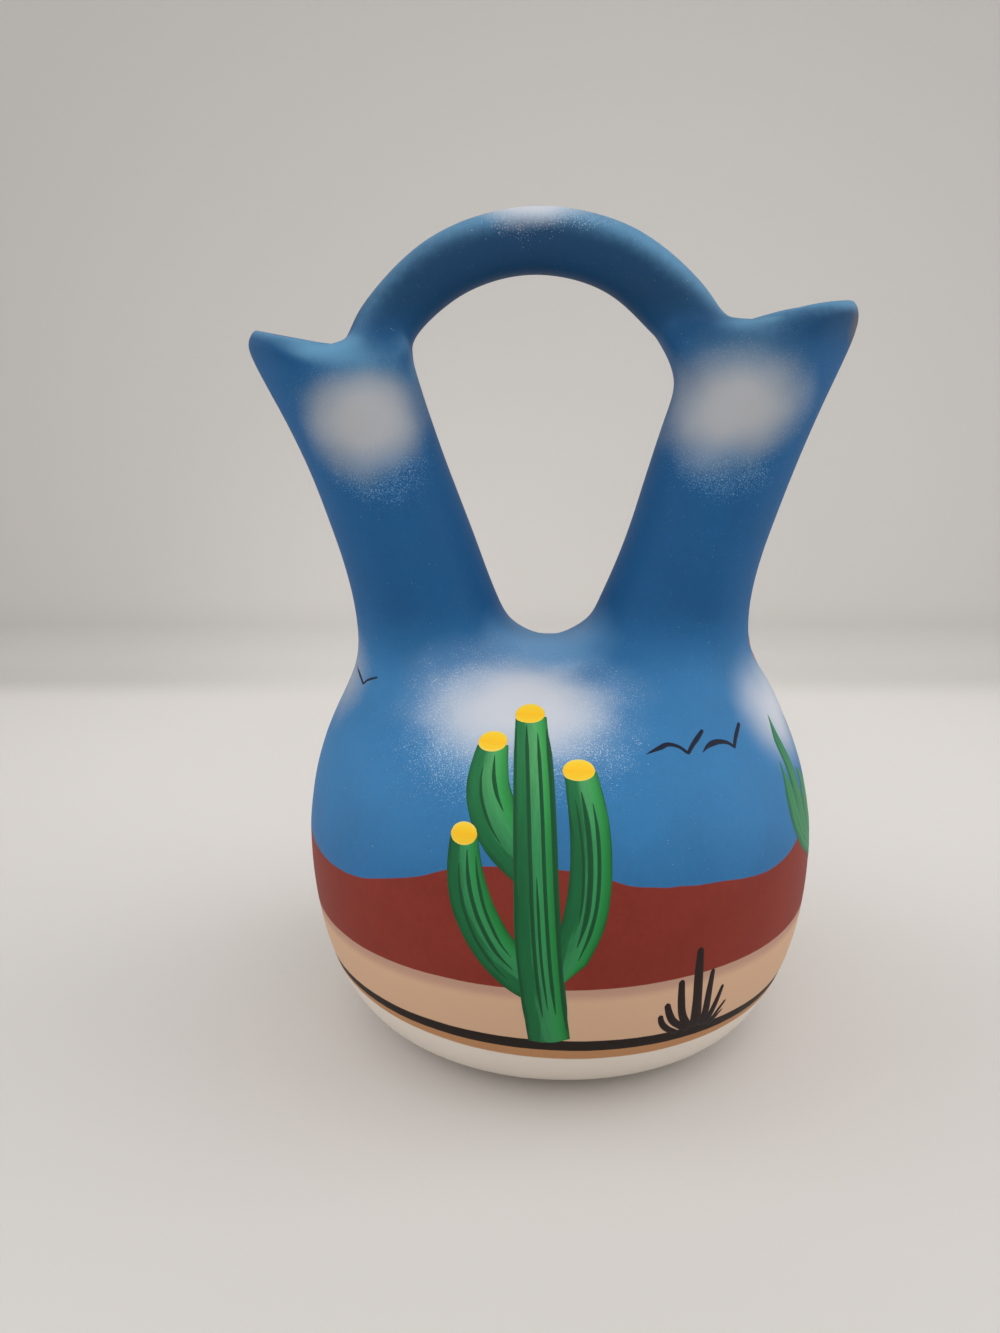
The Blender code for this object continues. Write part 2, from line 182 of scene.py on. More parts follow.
class PotCage:
    # points that the skin passes through, quads between them, and each point's bareness and wear

    def __init__(self):
        self.targets, self.bareness, self.wear = [], [], []
        self.faces, self.owners, self.creases = [], [], []

    def add(self, points, bare=0.0, worn=0.0):
        first = len(self.targets)
        self.targets += [Vector(point) for point in points]
        self.bareness += [bare] * (len(self.targets) - first)
        self.wear += [worn] * (len(self.targets) - first)
        return list(range(first, len(self.targets)))

    def face(self, corners, part, inside):
        self.faces.append(tuple(reversed(corners)) if inside else tuple(corners))
        self.owners.append(clayParts.index(part))

    def band(self, lower, upper, part, inside=False):
        for i in range(len(lower)):
            j = (i + 1) % len(lower)
            self.face((lower[i], lower[j], upper[j], upper[i]), part, inside)

    def stack(self, below, rings, part, bare=0.0, inside=False):
        # rings of points one above the other, with bands between them; gives the last one
        for points in rings:
            above = self.add(points, bare)
            self.band(below, above, part, inside)
            below = above
        return below

    def strip(self, left, right, part, inside=False):
        for i in range(len(left) - 1):
            self.face((left[i], right[i], right[i + 1], left[i + 1]), part, inside)

    def patch(self, ring, part, bare, inside=False):
        corners = [self.targets[number] for number in ring[1::3]]
        middle = sum(corners, Vector()) / 4
        core = self.add([middle.lerp(corner, potForm["patchCore"]) for corner in corners], bare)
        edge = ring[1:] + ring[:1]
        grid = (
            edge[:4],
            (edge[11], core[0], core[1], edge[4]),
            (edge[10], core[3], core[2], edge[5]),
            edge[9:5:-1],
        )
        for lower, upper in zip(grid, grid[1:]):
            for i in range(3):
                self.face((lower[i], lower[i + 1], upper[i + 1], upper[i]), part, inside)

    def crease(self, ring):
        self.creases += [tuple(sorted(pair)) for pair in zip(ring, ring[1:] + ring[:1])]


def bodyRing(ring):
    sideZ, frontZ, halfWidth, halfDepth = (value * mm for value in ring)
    points = []
    for i in range(potForm["bodyPoints"]):
        angle = 2 * math.pi * (i + 0.5) / potForm["bodyPoints"]
        z = mix(frontZ, sideZ, math.cos(angle) ** 2)
        x = halfWidth * math.cos(angle) - potForm["lean"] * z
        points.append((x, halfDepth * math.sin(angle), z))
    return points


def flatRing(radius, z):
    return bodyRing((z / mm, z / mm, radius / mm, radius / mm))


def innerRing(below, ring, above):
    # a wall's thickness in, square to the slope
    inside = list(ring)
    for height, reach in ((0, 2), (1, 3)):
        rise = above[height] - below[height]
        run = above[reach] - below[reach]
        length = math.hypot(rise, run)
        inside[height] += potForm["wall"] / mm * run / length
        inside[reach] -= potForm["wall"] / mm * rise / length
    return inside


def spoutTurns(side):
    step = 2 * math.pi / potForm["spoutPoints"]
    return [side * (step * i - math.pi / 2) for i in range(potForm["spoutPoints"])]


def spoutRing(side, section, inset=0.0):
    innerX, innerZ, outerX, outerZ, halfDepth = (value * mm for value in section)
    inner = Vector((innerX, 0, innerZ))
    outer = Vector((outerX, 0, outerZ))
    middle = (inner + outer) / 2
    reach = (outer - inner) / 2
    reach *= (reach.length - inset) / reach.length
    depth = Vector((0, halfDepth - inset, 0))
    return [middle + reach * math.cos(turn) + depth * math.sin(turn) for turn in spoutTurns(side)]


def rimRing(side, rim, inset, drop, tuck):
    # tuck leaves out the drop where the rim runs into the handle
    rootX, rootZ, tipX, tipZ, rise = (value * mm for value in rim)
    points = []
    for turn in spoutTurns(side):
        share = (1 + math.cos(turn)) / 2
        x = mix(rootX, tipX, share) - side * inset * math.cos(turn)
        z = mix(rootZ, tipZ, share) + rise * math.sin(math.pi * share)
        z -= drop * (1 - tuck * max(0.0, -math.cos(turn)) ** potForm["tuckEase"])
        z -= potForm["rimTilt"] * math.sin(turn)
        points.append((x, (potForm["rimHalfDepth"] - inset) * math.sin(turn), z))
    return points


def coilThickness(angle):
    share = (angle - rightSpout["rootAngle"]) / (leftSpout["rootAngle"] - rightSpout["rootAngle"])
    return mix(archForm["rightThickness"], archForm["leftThickness"], share)


def squared(value):
    # towards the side of a rounded square
    return math.copysign(abs(value) ** (2 / archForm["squareness"]), value)


def coilRing(angle, thickness, halfDepth):
    half = thickness / 2
    outward = Vector((math.cos(angle), 0, math.sin(angle)))
    middle = Vector((archForm["middleX"], 0, archForm["middleZ"]))
    middle += outward * (archForm["outerRadius"] - half)
    points = []
    for i in range(potForm["coilPoints"]):
        turn = 2 * math.pi * (i + 2.5) / potForm["coilPoints"]
        sideways = Vector((0, halfDepth * squared(math.sin(turn)), 0))
        points.append(middle + outward * half * squared(math.cos(turn)) + sideways)
    return points


def closeNeck(cage, neck, wall, draw, inside):
    # the saddle between the two necks; gives the loops that the spouts start from
    path = [(-y * draw * mm, z * mm - wall) for y, z in potForm["saddleProfile"]]
    path += [(-y, z) for y, z in reversed(path)]
    halfWidth = potForm["saddleHalfWidth"] + wall * potForm["innerSaddleWidening"]
    rows = []
    for side in (-1, 1):
        x = potForm["saddleX"] + side * halfWidth
        rows.append(cage.add([(x, y, z) for y, z in path], float(inside)))
    left, right = rows
    cage.strip([neck[8]] + left + [neck[3]], [neck[9]] + right + [neck[2]], "shoulder", inside)
    return neck[3:9] + left, neck[9:] + neck[:3] + right[::-1]


def buildOuterBody(cage):
    foot = cage.add(flatRing(potForm["footRadius"], 0.0), potForm["footBareness"])
    cage.patch(foot, "foot_slab", 1.0, inside=True)
    cage.crease(foot)
    slabTop = flatRing(potForm["slabTopRadius"], potForm["slabThickness"])
    slab = cage.stack(foot, [slabTop], "foot_slab")
    belly = cage.stack(slab, map(bodyRing, potForm["lowerProfile"]), "lower_bowl")
    upper = potForm["shoulderProfile"] + (potForm["neckProfile"],)
    neck = cage.stack(belly, map(bodyRing, upper), "shoulder")
    return closeNeck(cage, neck, 0.0, 1.0, False), slab, belly


def buildInnerBody(cage):
    slabTop = [potForm["slabThickness"] / mm] * 2 + [potForm["slabTopRadius"] / mm] * 2
    lower = potForm["lowerProfile"]
    shoulder = potForm["shoulderProfile"]
    neckProfile = potForm["neckProfile"]
    rings = (slabTop,) + lower + shoulder + (neckProfile,)
    slope = math.hypot(rings[1][0] - slabTop[0], rings[1][2] - slabTop[2])
    floorRadius = potForm["slabTopRadius"] - potForm["wall"] * slope / (rings[1][0] - slabTop[0])
    middle = cage.add(flatRing(floorRadius * potForm["floorPatch"], potForm["slabThickness"]), 1.0)
    cage.patch(middle, "foot_slab", 1.0)
    floorRing = flatRing(floorRadius, potForm["slabThickness"])
    floor = cage.stack(middle, [floorRing], "foot_slab", 1.0, True)
    inner = [bodyRing(innerRing(*three)) for three in zip(rings, lower, rings[2:])]
    belly = cage.stack(floor, inner, "lower_bowl", 1.0, True)
    upper = (innerRing(*shoulder), innerRing(shoulder[-1], neckProfile, neckProfile))
    neck = cage.stack(belly, map(bodyRing, upper), "shoulder", 1.0, True)
    return closeNeck(cage, neck, potForm["wall"], potForm["innerSaddleDraw"], True), floor, belly


def buildSpout(cage, side, outerLoop, innerLoop):
    spout = rightSpout if side > 0 else leftSpout
    name = spout["name"]
    sections = spout["sections"]
    outer = [spoutRing(side, section) for section in sections]
    foot = cage.stack(outerLoop, outer[:1], "shoulder")
    top = cage.stack(foot, outer[1:], name)

    # the collar's outer six points are the spout's, the other four start the handle's underside
    rootAngle = spout["rootAngle"]
    root = cage.add(coilRing(rootAngle, archForm["rootThickness"], archForm["rootHalfDepth"]))
    under = root[:4] if side > 0 else root[3::-1]
    over = root[:3:-1] if side > 0 else root[4:]
    frontHalf = cage.add(spoutRing(side, spout["collar"])[:6])
    cage.band(top, frontHalf + under, name)

    # lip, joined to the handle's upper side
    rim = spout["rim"]
    lip = potForm["lip"]
    lipHeight = potForm["lipHeight"]
    lipOuter = rimRing(side, rim, 0.0, lipHeight, potForm["lipTuck"])
    lipTop = cage.add(rimRing(side, rim, lip / 2, 0.0, 0.0), 0.0, 1.0)
    lipInner = cage.add(rimRing(side, rim, lip, lipHeight, 0.0), potForm["lipBareness"])
    fillet = []
    for lipPoint, coilPoint in zip(lipOuter[6:], over):
        point = Vector(lipPoint).lerp(cage.targets[coilPoint], potForm["fillet"])
        fillet.append(point - Vector((0, 0, potForm["filletHollow"])))
    fillet = cage.add(fillet)
    lipOuter = cage.add(lipOuter)
    near = [frontHalf[5]] + fillet + [frontHalf[0]]
    cage.strip(near, [under[0]] + over + [under[3]], name)
    cage.band(frontHalf + fillet, lipOuter, name)
    cage.band(lipOuter, lipTop, name)
    cage.band(lipTop, lipInner, name)

    # bore
    kept = sections[: potForm["boreRings"]] + sections[potForm["boreRings"] + 1 :]
    bore = [spoutRing(side, section, potForm["wall"]) for section in kept]
    boreFoot = cage.stack(innerLoop, bore[:1], "shoulder", 1.0, True)
    boreTop = cage.stack(boreFoot, bore[1:], name, 1.0, True)
    ends = [[cage.targets[number] for number in ring] for ring in (boreTop, lipInner)]
    throat = [low.lerp(high, potForm["throat"]) for low, high in zip(*ends)]
    throat = cage.stack(boreTop, [throat], name, potForm["throatBareness"], True)
    cage.band(throat, lipInner, name, inside=True)

    endAngle = rootAngle + side * archForm["rootLength"]
    end = cage.add(coilRing(endAngle, coilThickness(endAngle), archForm["coilHalfDepth"]))
    cage.band(*((root, end) if side > 0 else (end, root)), name)
    return foot, boreFoot, end


def buildHandle(cage, rightEnd, leftEnd):
    start = rightSpout["rootAngle"] + archForm["rootLength"]
    stop = leftSpout["rootAngle"] - archForm["rootLength"]
    rings = []
    for i in range(archForm["coilRings"]):
        angle = mix(start, stop, (i + 1) / (archForm["coilRings"] + 1))
        rings.append(coilRing(angle, coilThickness(angle), archForm["coilHalfDepth"]))
    cage.band(cage.stack(rightEnd, rings, "handle"), leftEnd, "handle")


def solveCage(cage):
    # control points whose smooth limit surface passes through every target point
    count = len(cage.targets)
    neighbours = [set() for _ in range(count)]
    across = [[] for _ in range(count)]
    for face in cage.faces:
        for i, here in enumerate(face):
            neighbours[here] |= {face[i - 1], face[(i + 1) % 4]}
            across[here].append(face[(i + 2) % 4])
    sharp = [set() for _ in range(count)]
    for start, end in cage.creases:
        sharp[start].add(end)
        sharp[end].add(start)
    matrix = np.zeros((count, count))
    for here in range(count):
        if sharp[here]:
            matrix[here, here] = 4 / 6
            for other in sharp[here]:
                matrix[here, other] = 1 / 6
            continue
        valence = len(neighbours[here])
        total = valence * (valence + 5)
        matrix[here, here] = valence * valence / total
        for other in neighbours[here]:
            matrix[here, other] += 4 / total
        for other in across[here]:
            matrix[here, other] += 1 / total
    return np.linalg.solve(matrix, np.array([tuple(point) for point in cage.targets]))


def smoothSkin(cage):
    mesh = bpy.data.meshes.new("skinCage")
    mesh.from_pydata([tuple(point) for point in solveCage(cage)], [], cage.faces)
    for part in clayParts:
        mesh.materials.append(None)
    for polygon, owner in zip(mesh.polygons, cage.owners):
        polygon.material_index = owner
    addMarks(mesh, bareClay=cage.bareness, wornEdge=cage.wear)
    creases = mesh.attributes.new("crease_edge", "FLOAT", "EDGE")
    marked = set(cage.creases)
    for edge in mesh.edges:
        if tuple(sorted(edge.vertices)) in marked:
            creases.data[edge.index].value = 1.0
    skin = showObject("skinCage", mesh)
    smooth = skin.modifiers.new("smooth", "SUBSURF")
    smooth.levels = smooth.render_levels = potForm["smoothLevels"]
    smooth.use_limit_surface = True
    bpy.context.view_layer.update()
    finished = skin.evaluated_get(bpy.context.evaluated_depsgraph_get())
    fine = bpy.data.meshes.new_from_object(finished)
    bpy.data.objects.remove(skin)
    return fine


# the hand of the potter: how far the skin strays, over how wide a stretch
handWork = dict(broad=0.22 * mm, broadSize=42 * mm, small=0.05 * mm, smallSize=11 * mm, footFade=9 * mm)


def roughenByHand(fine):
    normals = [vertex.normal.copy() for vertex in fine.vertices]
    for vertex, normal in zip(fine.vertices, normals):
        place = vertex.co.copy()
        stray = noise.noise(place / handWork["broadSize"]) * handWork["broad"]
        stray += noise.noise(place / handWork["smallSize"]) * handWork["small"]
        settled = min(1.0, max(0.0, place.z / handWork["footFade"]))
        vertex.co = place + normal * stray * settled
    fine.update()


def seamWalk(links, start, towards):
    for first in links[start]:
        walk = [start, first]
        while walk[-1] != start:
            onward = [other for other in links[walk[-1]] if other != walk[-2]]
            walk.append(onward[0])
        walk.pop()
        if towards in walk[: len(walk) // 2]:
            return walk
    raise ValueError("a seam doesn't reach its next corner")


def closeSeam(bm, vertices, links, rings):
    # the luted face of a part, hidden in the wall: a ring between two walks or a fan inside one
    walks = [[vertices[index] for index in seamWalk(links, *ring[:2])] for ring in rings]
    outer = walks[0]
    pairs = list(zip(outer, outer[1:] + outer[:1]))
    if len(walks) == 1:
        centre = bm.verts.new(sum((vertex.co for vertex in outer), Vector()) / len(outer))
        return [bm.faces.new((*pair, centre)) for pair in pairs]
    inner = walks[1]
    inward = zip(inner[1:] + inner[:1], inner)
    return [bm.faces.new((*pair, *other)) for pair, other in zip(pairs, inward)]


def makeClayPart(fine, name, seams, material):
    number = clayParts.index(name)
    bm = bmesh.new()
    marks = []
    for label in ("bareClay", "wornEdge"):
        marks.append((bm.verts.layers.float.new(label), fine.attributes[label].data))
    source = bm.verts.layers.int.new("skinPoint")
    vertices = {}
    for polygon in fine.polygons:
        if polygon.material_index != number:
            continue
        corners = []
        for index in polygon.vertices:
            if index not in vertices:
                vertex = bm.verts.new(fine.vertices[index].co)
                for layer, values in marks:
                    vertex[layer] = values[index].value
                vertex[source] = index + 1
                vertices[index] = vertex
            corners.append(vertices[index])
        bm.faces.new(corners)
    names = {vertex: index for index, vertex in vertices.items()}
    links = {}
    for edge in bm.edges:
        if len(edge.link_faces) == 1:
            start, end = (names[vertex] for vertex in edge.verts)
            links.setdefault(start, []).append(end)
            links.setdefault(end, []).append(start)
    seamFaces = set()
    for parts, rings in seams:
        if name in parts:
            seamFaces |= set(closeSeam(bm, vertices, links, rings))
    for face in bm.faces:
        face.smooth = True
    bmesh.ops.recalc_face_normals(bm, faces=bm.faces[:])
    bm.faces.index_update()
    flat = {face.index for face in seamFaces}
    mesh = bpy.data.meshes.new("painted_" + name)
    bm.to_mesh(mesh)
    bm.free()

    # neighbouring parts share the skin's normals, so the paint runs over the seam unbroken
    points = mesh.attributes["skinPoint"].data
    corners = []
    for polygon in mesh.polygons:
        for index in polygon.vertices:
            point = points[index].value
            if polygon.index in flat or not point:
                corners.append(polygon.normal.copy())
            else:
                corners.append(fine.vertices[point - 1].normal.copy())
    mesh.normals_split_custom_set(corners)
    mesh.attributes.remove(mesh.attributes["skinPoint"])
    mesh.materials.append(material)
    part = showObject("painted_" + name, mesh)
    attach(part, "root")
    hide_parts(name)


def buildPot(material):
    cage = PotCage()
    (leftOuter, rightOuter), slab, outerBelly = buildOuterBody(cage)
    (leftInner, rightInner), floor, innerBelly = buildInnerBody(cage)
    leftRing, leftBore, leftEnd = buildSpout(cage, -1, leftOuter, leftInner)
    rightRing, rightBore, rightEnd = buildSpout(cage, 1, rightOuter, rightInner)
    buildHandle(cage, rightEnd, leftEnd)
    fine = smoothSkin(cage)
    roughenByHand(fine)
    seams = (
        # the two parts that meet, and the rings of points at the seam's edges
        (("foot_slab", "lower_bowl"), (slab, floor)),
        (("lower_bowl", "shoulder"), (outerBelly, innerBelly)),
        (("shoulder", "left_spout"), (leftRing, leftBore)),
        (("shoulder", "right_spout"), (rightRing, rightBore)),
        (("right_spout", "handle"), (rightEnd,)),
        (("handle", "left_spout"), (leftEnd,)),
    )
    for name in clayParts:
        makeClayPart(fine, name, seams, material)
    corners = [vertex.co.copy() for vertex in fine.vertices]
    skin = BVHTree.FromPolygons(corners, [tuple(polygon.vertices) for polygon in fine.polygons])
    bpy.data.meshes.remove(fine)
    return skin


# shader helpers
mattGloss = 0.2


def newGroup(name, vectors, numbers, outputs):
    group = bpy.data.node_groups.new(name, "ShaderNodeTree")
    sockets = [(label, "INPUT", "Vector") for label in vectors]
    sockets += [(label, "INPUT", "Float") for label in numbers]
    sockets += [(label, "OUTPUT", "Float") for label in outputs]
    for label, way, kind in sockets:
        group.interface.new_socket(label, in_out=way, socket_type="NodeSocket" + kind)
    return group, group.nodes.new("NodeGroupInput").outputs, group.nodes.new("NodeGroupOutput").inputs


def connect(tree, value, socket):
    if isinstance(value, bpy.types.NodeSocket):
        tree.links.new(value, socket)
    else:
        socket.default_value = value


def addNode(tree, kind, values=None, **settings):
    node = tree.nodes.new(kind)
    for key, value in settings.items():
        setattr(node, key, value)
    for key, value in (values or {}).items():
        connect(tree, value, node.inputs[key])
    return node


def calcNode(tree, kind, operation, values):
    return addNode(tree, kind, dict(enumerate(values)), operation=operation)


def calc(tree, operation, *values):
    return calcNode(tree, "ShaderNodeMath", operation, values).outputs[0]


def times(tree, first, second):
    return calc(tree, "MULTIPLY", first, second)


def minus(tree, first, second):
    return calc(tree, "SUBTRACT", first, second)


def scaled(tree, value, factor, offset):
    return calc(tree, "MULTIPLY_ADD", value, factor, offset)


def vectorCalc(tree, operation, *values):
    node = calcNode(tree, "ShaderNodeVectorMath", operation, values)
    return node.outputs["Value" if operation in ("LENGTH", "DISTANCE", "DOT_PRODUCT") else "Vector"]


def ease(tree, value, start, end, low=0.0, high=1.0):
    # a soft step between two values
    given = {"Value": value, "From Min": start, "From Max": end, "To Min": low, "To Max": high}
    return addNode(tree, "ShaderNodeMapRange", given, interpolation_type="SMOOTHSTEP").outputs["Result"]


def blend(tree, share, under, over, kind="MIX"):
    given = {0: share, 6: under, 7: over}
    return addNode(tree, "ShaderNodeMix", given, data_type="RGBA", blend_type=kind).outputs[2]


def grainNoise(tree, vector, size, detail=2.0, roughness=0.5):
    # noise whose lumps are about this many metres wide
    given = {"Vector": vector, "Scale": 1 / size, "Detail": detail, "Roughness": roughness}
    return addNode(tree, "ShaderNodeTexNoise", given).outputs["Fac"]


def useGroup(tree, group, values):
    return addNode(tree, "ShaderNodeGroup", values, node_tree=group).outputs


def newMaterial(name):
    material = bpy.data.materials.new(name)
    material.use_nodes = True
    tree = material.node_tree
    place = addNode(tree, "ShaderNodeTexCoord").outputs["Object"]
    return material, tree, tree.nodes["Principled BSDF"], place


def setSurface(tree, shader, colour, rough):
    given = {"Base Color": colour, "Roughness": rough, "Specular IOR Level": mattGloss}
    for key, value in given.items():
        connect(tree, value, shader.inputs[key])


def axesOf(tree, place):
    return addNode(tree, "ShaderNodeSeparateXYZ", {"Vector": place}).outputs


def dim(tree, colour, strength):
    return vectorCalc(tree, "SCALE", colour, (0, 0, 0), (0, 0, 0), strength)


def drift(tree, place, size, depth):
    # a slow wander of a painted edge, of this depth in all
    return scaled(tree, grainNoise(tree, place, size), depth, -depth / 2)


def ramp(tree, value, stops):
    # colours along a value from 0 to 1
    node = addNode(tree, "ShaderNodeValToRGB", {0: value})
    elements = node.color_ramp.elements
    elements[0].color = stops[0][1]
    elements[1].color = stops[-1][1]
    for position, colour in stops[1:-1]:
        elements.new(position).color = colour
    return node.outputs["Color"]


def attribute(tree, name):
    return addNode(tree, "ShaderNodeAttribute", attribute_name=name).outputs["Fac"]


# sizes of the grain, and its shares in the relief and in the tone
toothForm = dict(
    fine=0.45 * mm,
    middle=2.4 * mm,
    broad=19 * mm,
    heightShares=(0.7, 0.8),
    toneShares=(0.25, 0.3, 0.45),
    speckGap=9 * mm,
    speckRarity=(0.55, 1.0),
    speckReach=0.034,
)


def makeClayTooth():
    # the tooth of sanded clay under thin paint: fine grain, broad unevenness and specks of dust
    outputs = ("Height", "Tone", "Specks")
    group, given, out = newGroup("clayTooth", ("Vector",), ("Grain",), outputs)
    place = given["Vector"]
    fine = grainNoise(group, place, toothForm["fine"], 3.0, 0.6)
    middle = grainNoise(group, place, toothForm["middle"], 3.0)
    broad = grainNoise(group, place, toothForm["broad"], 1.0)
    scattered = {"Vector": place, "Scale": 1 / toothForm["speckGap"], "Randomness": 1.0}
    cells = addNode(group, "ShaderNodeTexVoronoi", scattered, feature="F1")
    rare = addNode(group, "ShaderNodeSeparateColor", {"Color": cells.outputs["Color"]}).outputs[0]
    reach = times(group, ease(group, rare, *toothForm["speckRarity"]), toothForm["speckReach"])
    speck = ease(group, cells.outputs["Distance"], times(group, reach, 0.5), reach, 1.0, 0.0)
    height = times(group, fine, given["Grain"])
    for part, share in zip((middle, speck), toothForm["heightShares"]):
        height = scaled(group, part, share, height)
    fineShare, middleShare, broadShare = toothForm["toneShares"]
    tone = scaled(group, fine, fineShare, times(group, middle, middleShare))
    tone = scaled(group, broad, broadShare, tone)
    for label, value in (("Height", height), ("Tone", tone), ("Specks", speck)):
        connect(group, value, out[label])
    return group


# an airbrushed puff: how wide its billows are and how far they push its edge, then the same for
# its droplets, the patches they come in, where they end, how many there are and how crisp they are
sprayForm = dict(
    billow=17 * mm,
    billowDepth=0.36,
    drops=0.34 * mm,
    patches=5 * mm,
    patchDepth=0.5,
    dropRange=(0.75, 1.85),
    dropScarcity=(0.78, 0.26),
    dropEdge=12.0,
)


def makeSprayCloud():
    # a puff of paint from an airbrush, smooth in the middle and spattered round its edge
    vectors = ("Vector", "Centre", "Reach")
    numbers = ("Slant", "Core", "Body", "Spatter")
    group, given, out = newGroup("sprayCloud", vectors, numbers, ("Mask",))
    place = given["Vector"]
    offset = vectorCalc(group, "SUBTRACT", place, given["Centre"])
    slope = times(group, axesOf(group, offset)["X"], given["Slant"])
    rise = addNode(group, "ShaderNodeCombineXYZ", {"Z": slope}).outputs[0]
    offset = vectorCalc(group, "SUBTRACT", offset, rise)
    inside = vectorCalc(group, "LENGTH", vectorCalc(group, "DIVIDE", offset, given["Reach"]))
    billow = grainNoise(group, place, sprayForm["billow"], 1.0)
    depth = sprayForm["billowDepth"]
    inside = calc(group, "ADD", inside, scaled(group, billow, depth, -depth / 2))
    even = times(group, ease(group, inside, given["Core"], 1.0, 1.0, 0.0), given["Body"])
    drops = grainNoise(group, place, sprayForm["drops"], 1.0)
    patches = grainNoise(group, place, sprayForm["patches"], 1.0)
    ragged = scaled(group, patches, sprayForm["patchDepth"], inside)
    nearEdge = ease(group, ragged, *sprayForm["dropRange"], 1.0, 0.0)
    most, gain = sprayForm["dropScarcity"]
    threshold = minus(group, most, times(group, nearEdge, gain))
    reached = times(group, minus(group, drops, threshold), sprayForm["dropEdge"])
    spatter = addNode(group, "ShaderNodeClamp", {"Value": reached}).outputs[0]
    spatter = times(group, spatter, given["Spatter"])
    kept = times(group, minus(group, 1.0, even), minus(group, 1.0, spatter))
    connect(group, minus(group, 1.0, kept), out["Mask"])
    return group


# streaks of a brush: how long they are for their width, and how wide hairs and pools are
brushForm = dict(length=0.07, hairs=0.6, pools=2.4)


def makeBrushMarks():
    # streaks that run along a stroke, from its own across and along coordinates in mm
    group, given, out = newGroup("brushMarks", (), ("Across", "Along"), ("Tone", "Height"))
    stretched = {"X": given["Across"], "Y": times(group, given["Along"], brushForm["length"])}
    place = addNode(group, "ShaderNodeCombineXYZ", stretched).outputs[0]
    hairs = grainNoise(group, place, brushForm["hairs"], 2.0, 0.6)
    pools = grainNoise(group, place, brushForm["pools"])
    tone = scaled(group, hairs, 0.5, times(group, pools, 0.5))
    connect(group, tone, out["Tone"])
    connect(group, hairs, out["Height"])
    return group


clayTooth = makeClayTooth()
sprayCloud = makeSprayCloud()
brushMarks = makeBrushMarks()


def addTooth(tree, shader, relief, strength, depth):
    bump = addNode(tree, "ShaderNodeBump", {"Strength": strength, "Distance": depth, "Height": relief})
    connect(tree, bump.outputs[0], shader.inputs["Normal"])


# the paint on the pot; heights in metres, azimuths in degrees from the front towards the right
skyPaint = dict(
    low=paint(37, 101, 152),
    # body, neck and handle: tone, and the heights over which it takes over
    layers=(
        (paint(48, 114, 164), 60 * mm, 96 * mm),
        (paint(18, 82, 131), 108 * mm, 138 * mm),
        (paint(13, 60, 96), 204 * mm, 226 * mm),
    ),
    # lighter blue on up-facing tops near the rims: partly mist settled from the airbrush, partly a painted
    # highlight where the overhead light falls
    settled=paint(84, 132, 165),
    rimFade=(196 * mm, 206 * mm),
    # mist and a painted highlight on the rims: the direction they fall from, their grain, and how they grow
    # with the slope
    mistAndLightFrom=(0.26, 0.0, 0.96),
    mistAndHighlightGrain=0.4,
    mistAndHighlightShift=-0.2,
    mistAndHighlightRange=(0.05, 0.80),
    mistAndHighlightShare=0.95,
    unevenness=(0.5, 0.75),
)
cloudTones = dict(
    bright=paint(197, 200, 208),
    shaded=paint(168, 169, 173),
    thin=paint(88, 124, 148),
    veil=paint(136, 168, 201),
    mist=paint(150, 184, 212),
    faint=paint(104, 146, 184),
    # painted highlight: a lighter blue on the up-facing saddle between the spouts, standing in for light
    # falling there
    saddleHighlight=paint(130, 180, 222),
    # painted highlight: the lighter blue along the up-facing top of the left rim
    lip=paint(92, 144, 178),
    rubbed=paint(98, 88, 86),
)


def puff(centre, reach, core=0.0, body=1.0, spatter=0.0, slant=0.0):
    # an airbrushed puff: centre and reach in mm, how far its even core goes and how strong it is
    centre, reach = ([part * mm for part in given] for given in (centre, reach))
    return dict(Centre=centre, Reach=reach, Core=core, Body=body, Spatter=spatter, Slant=slant)


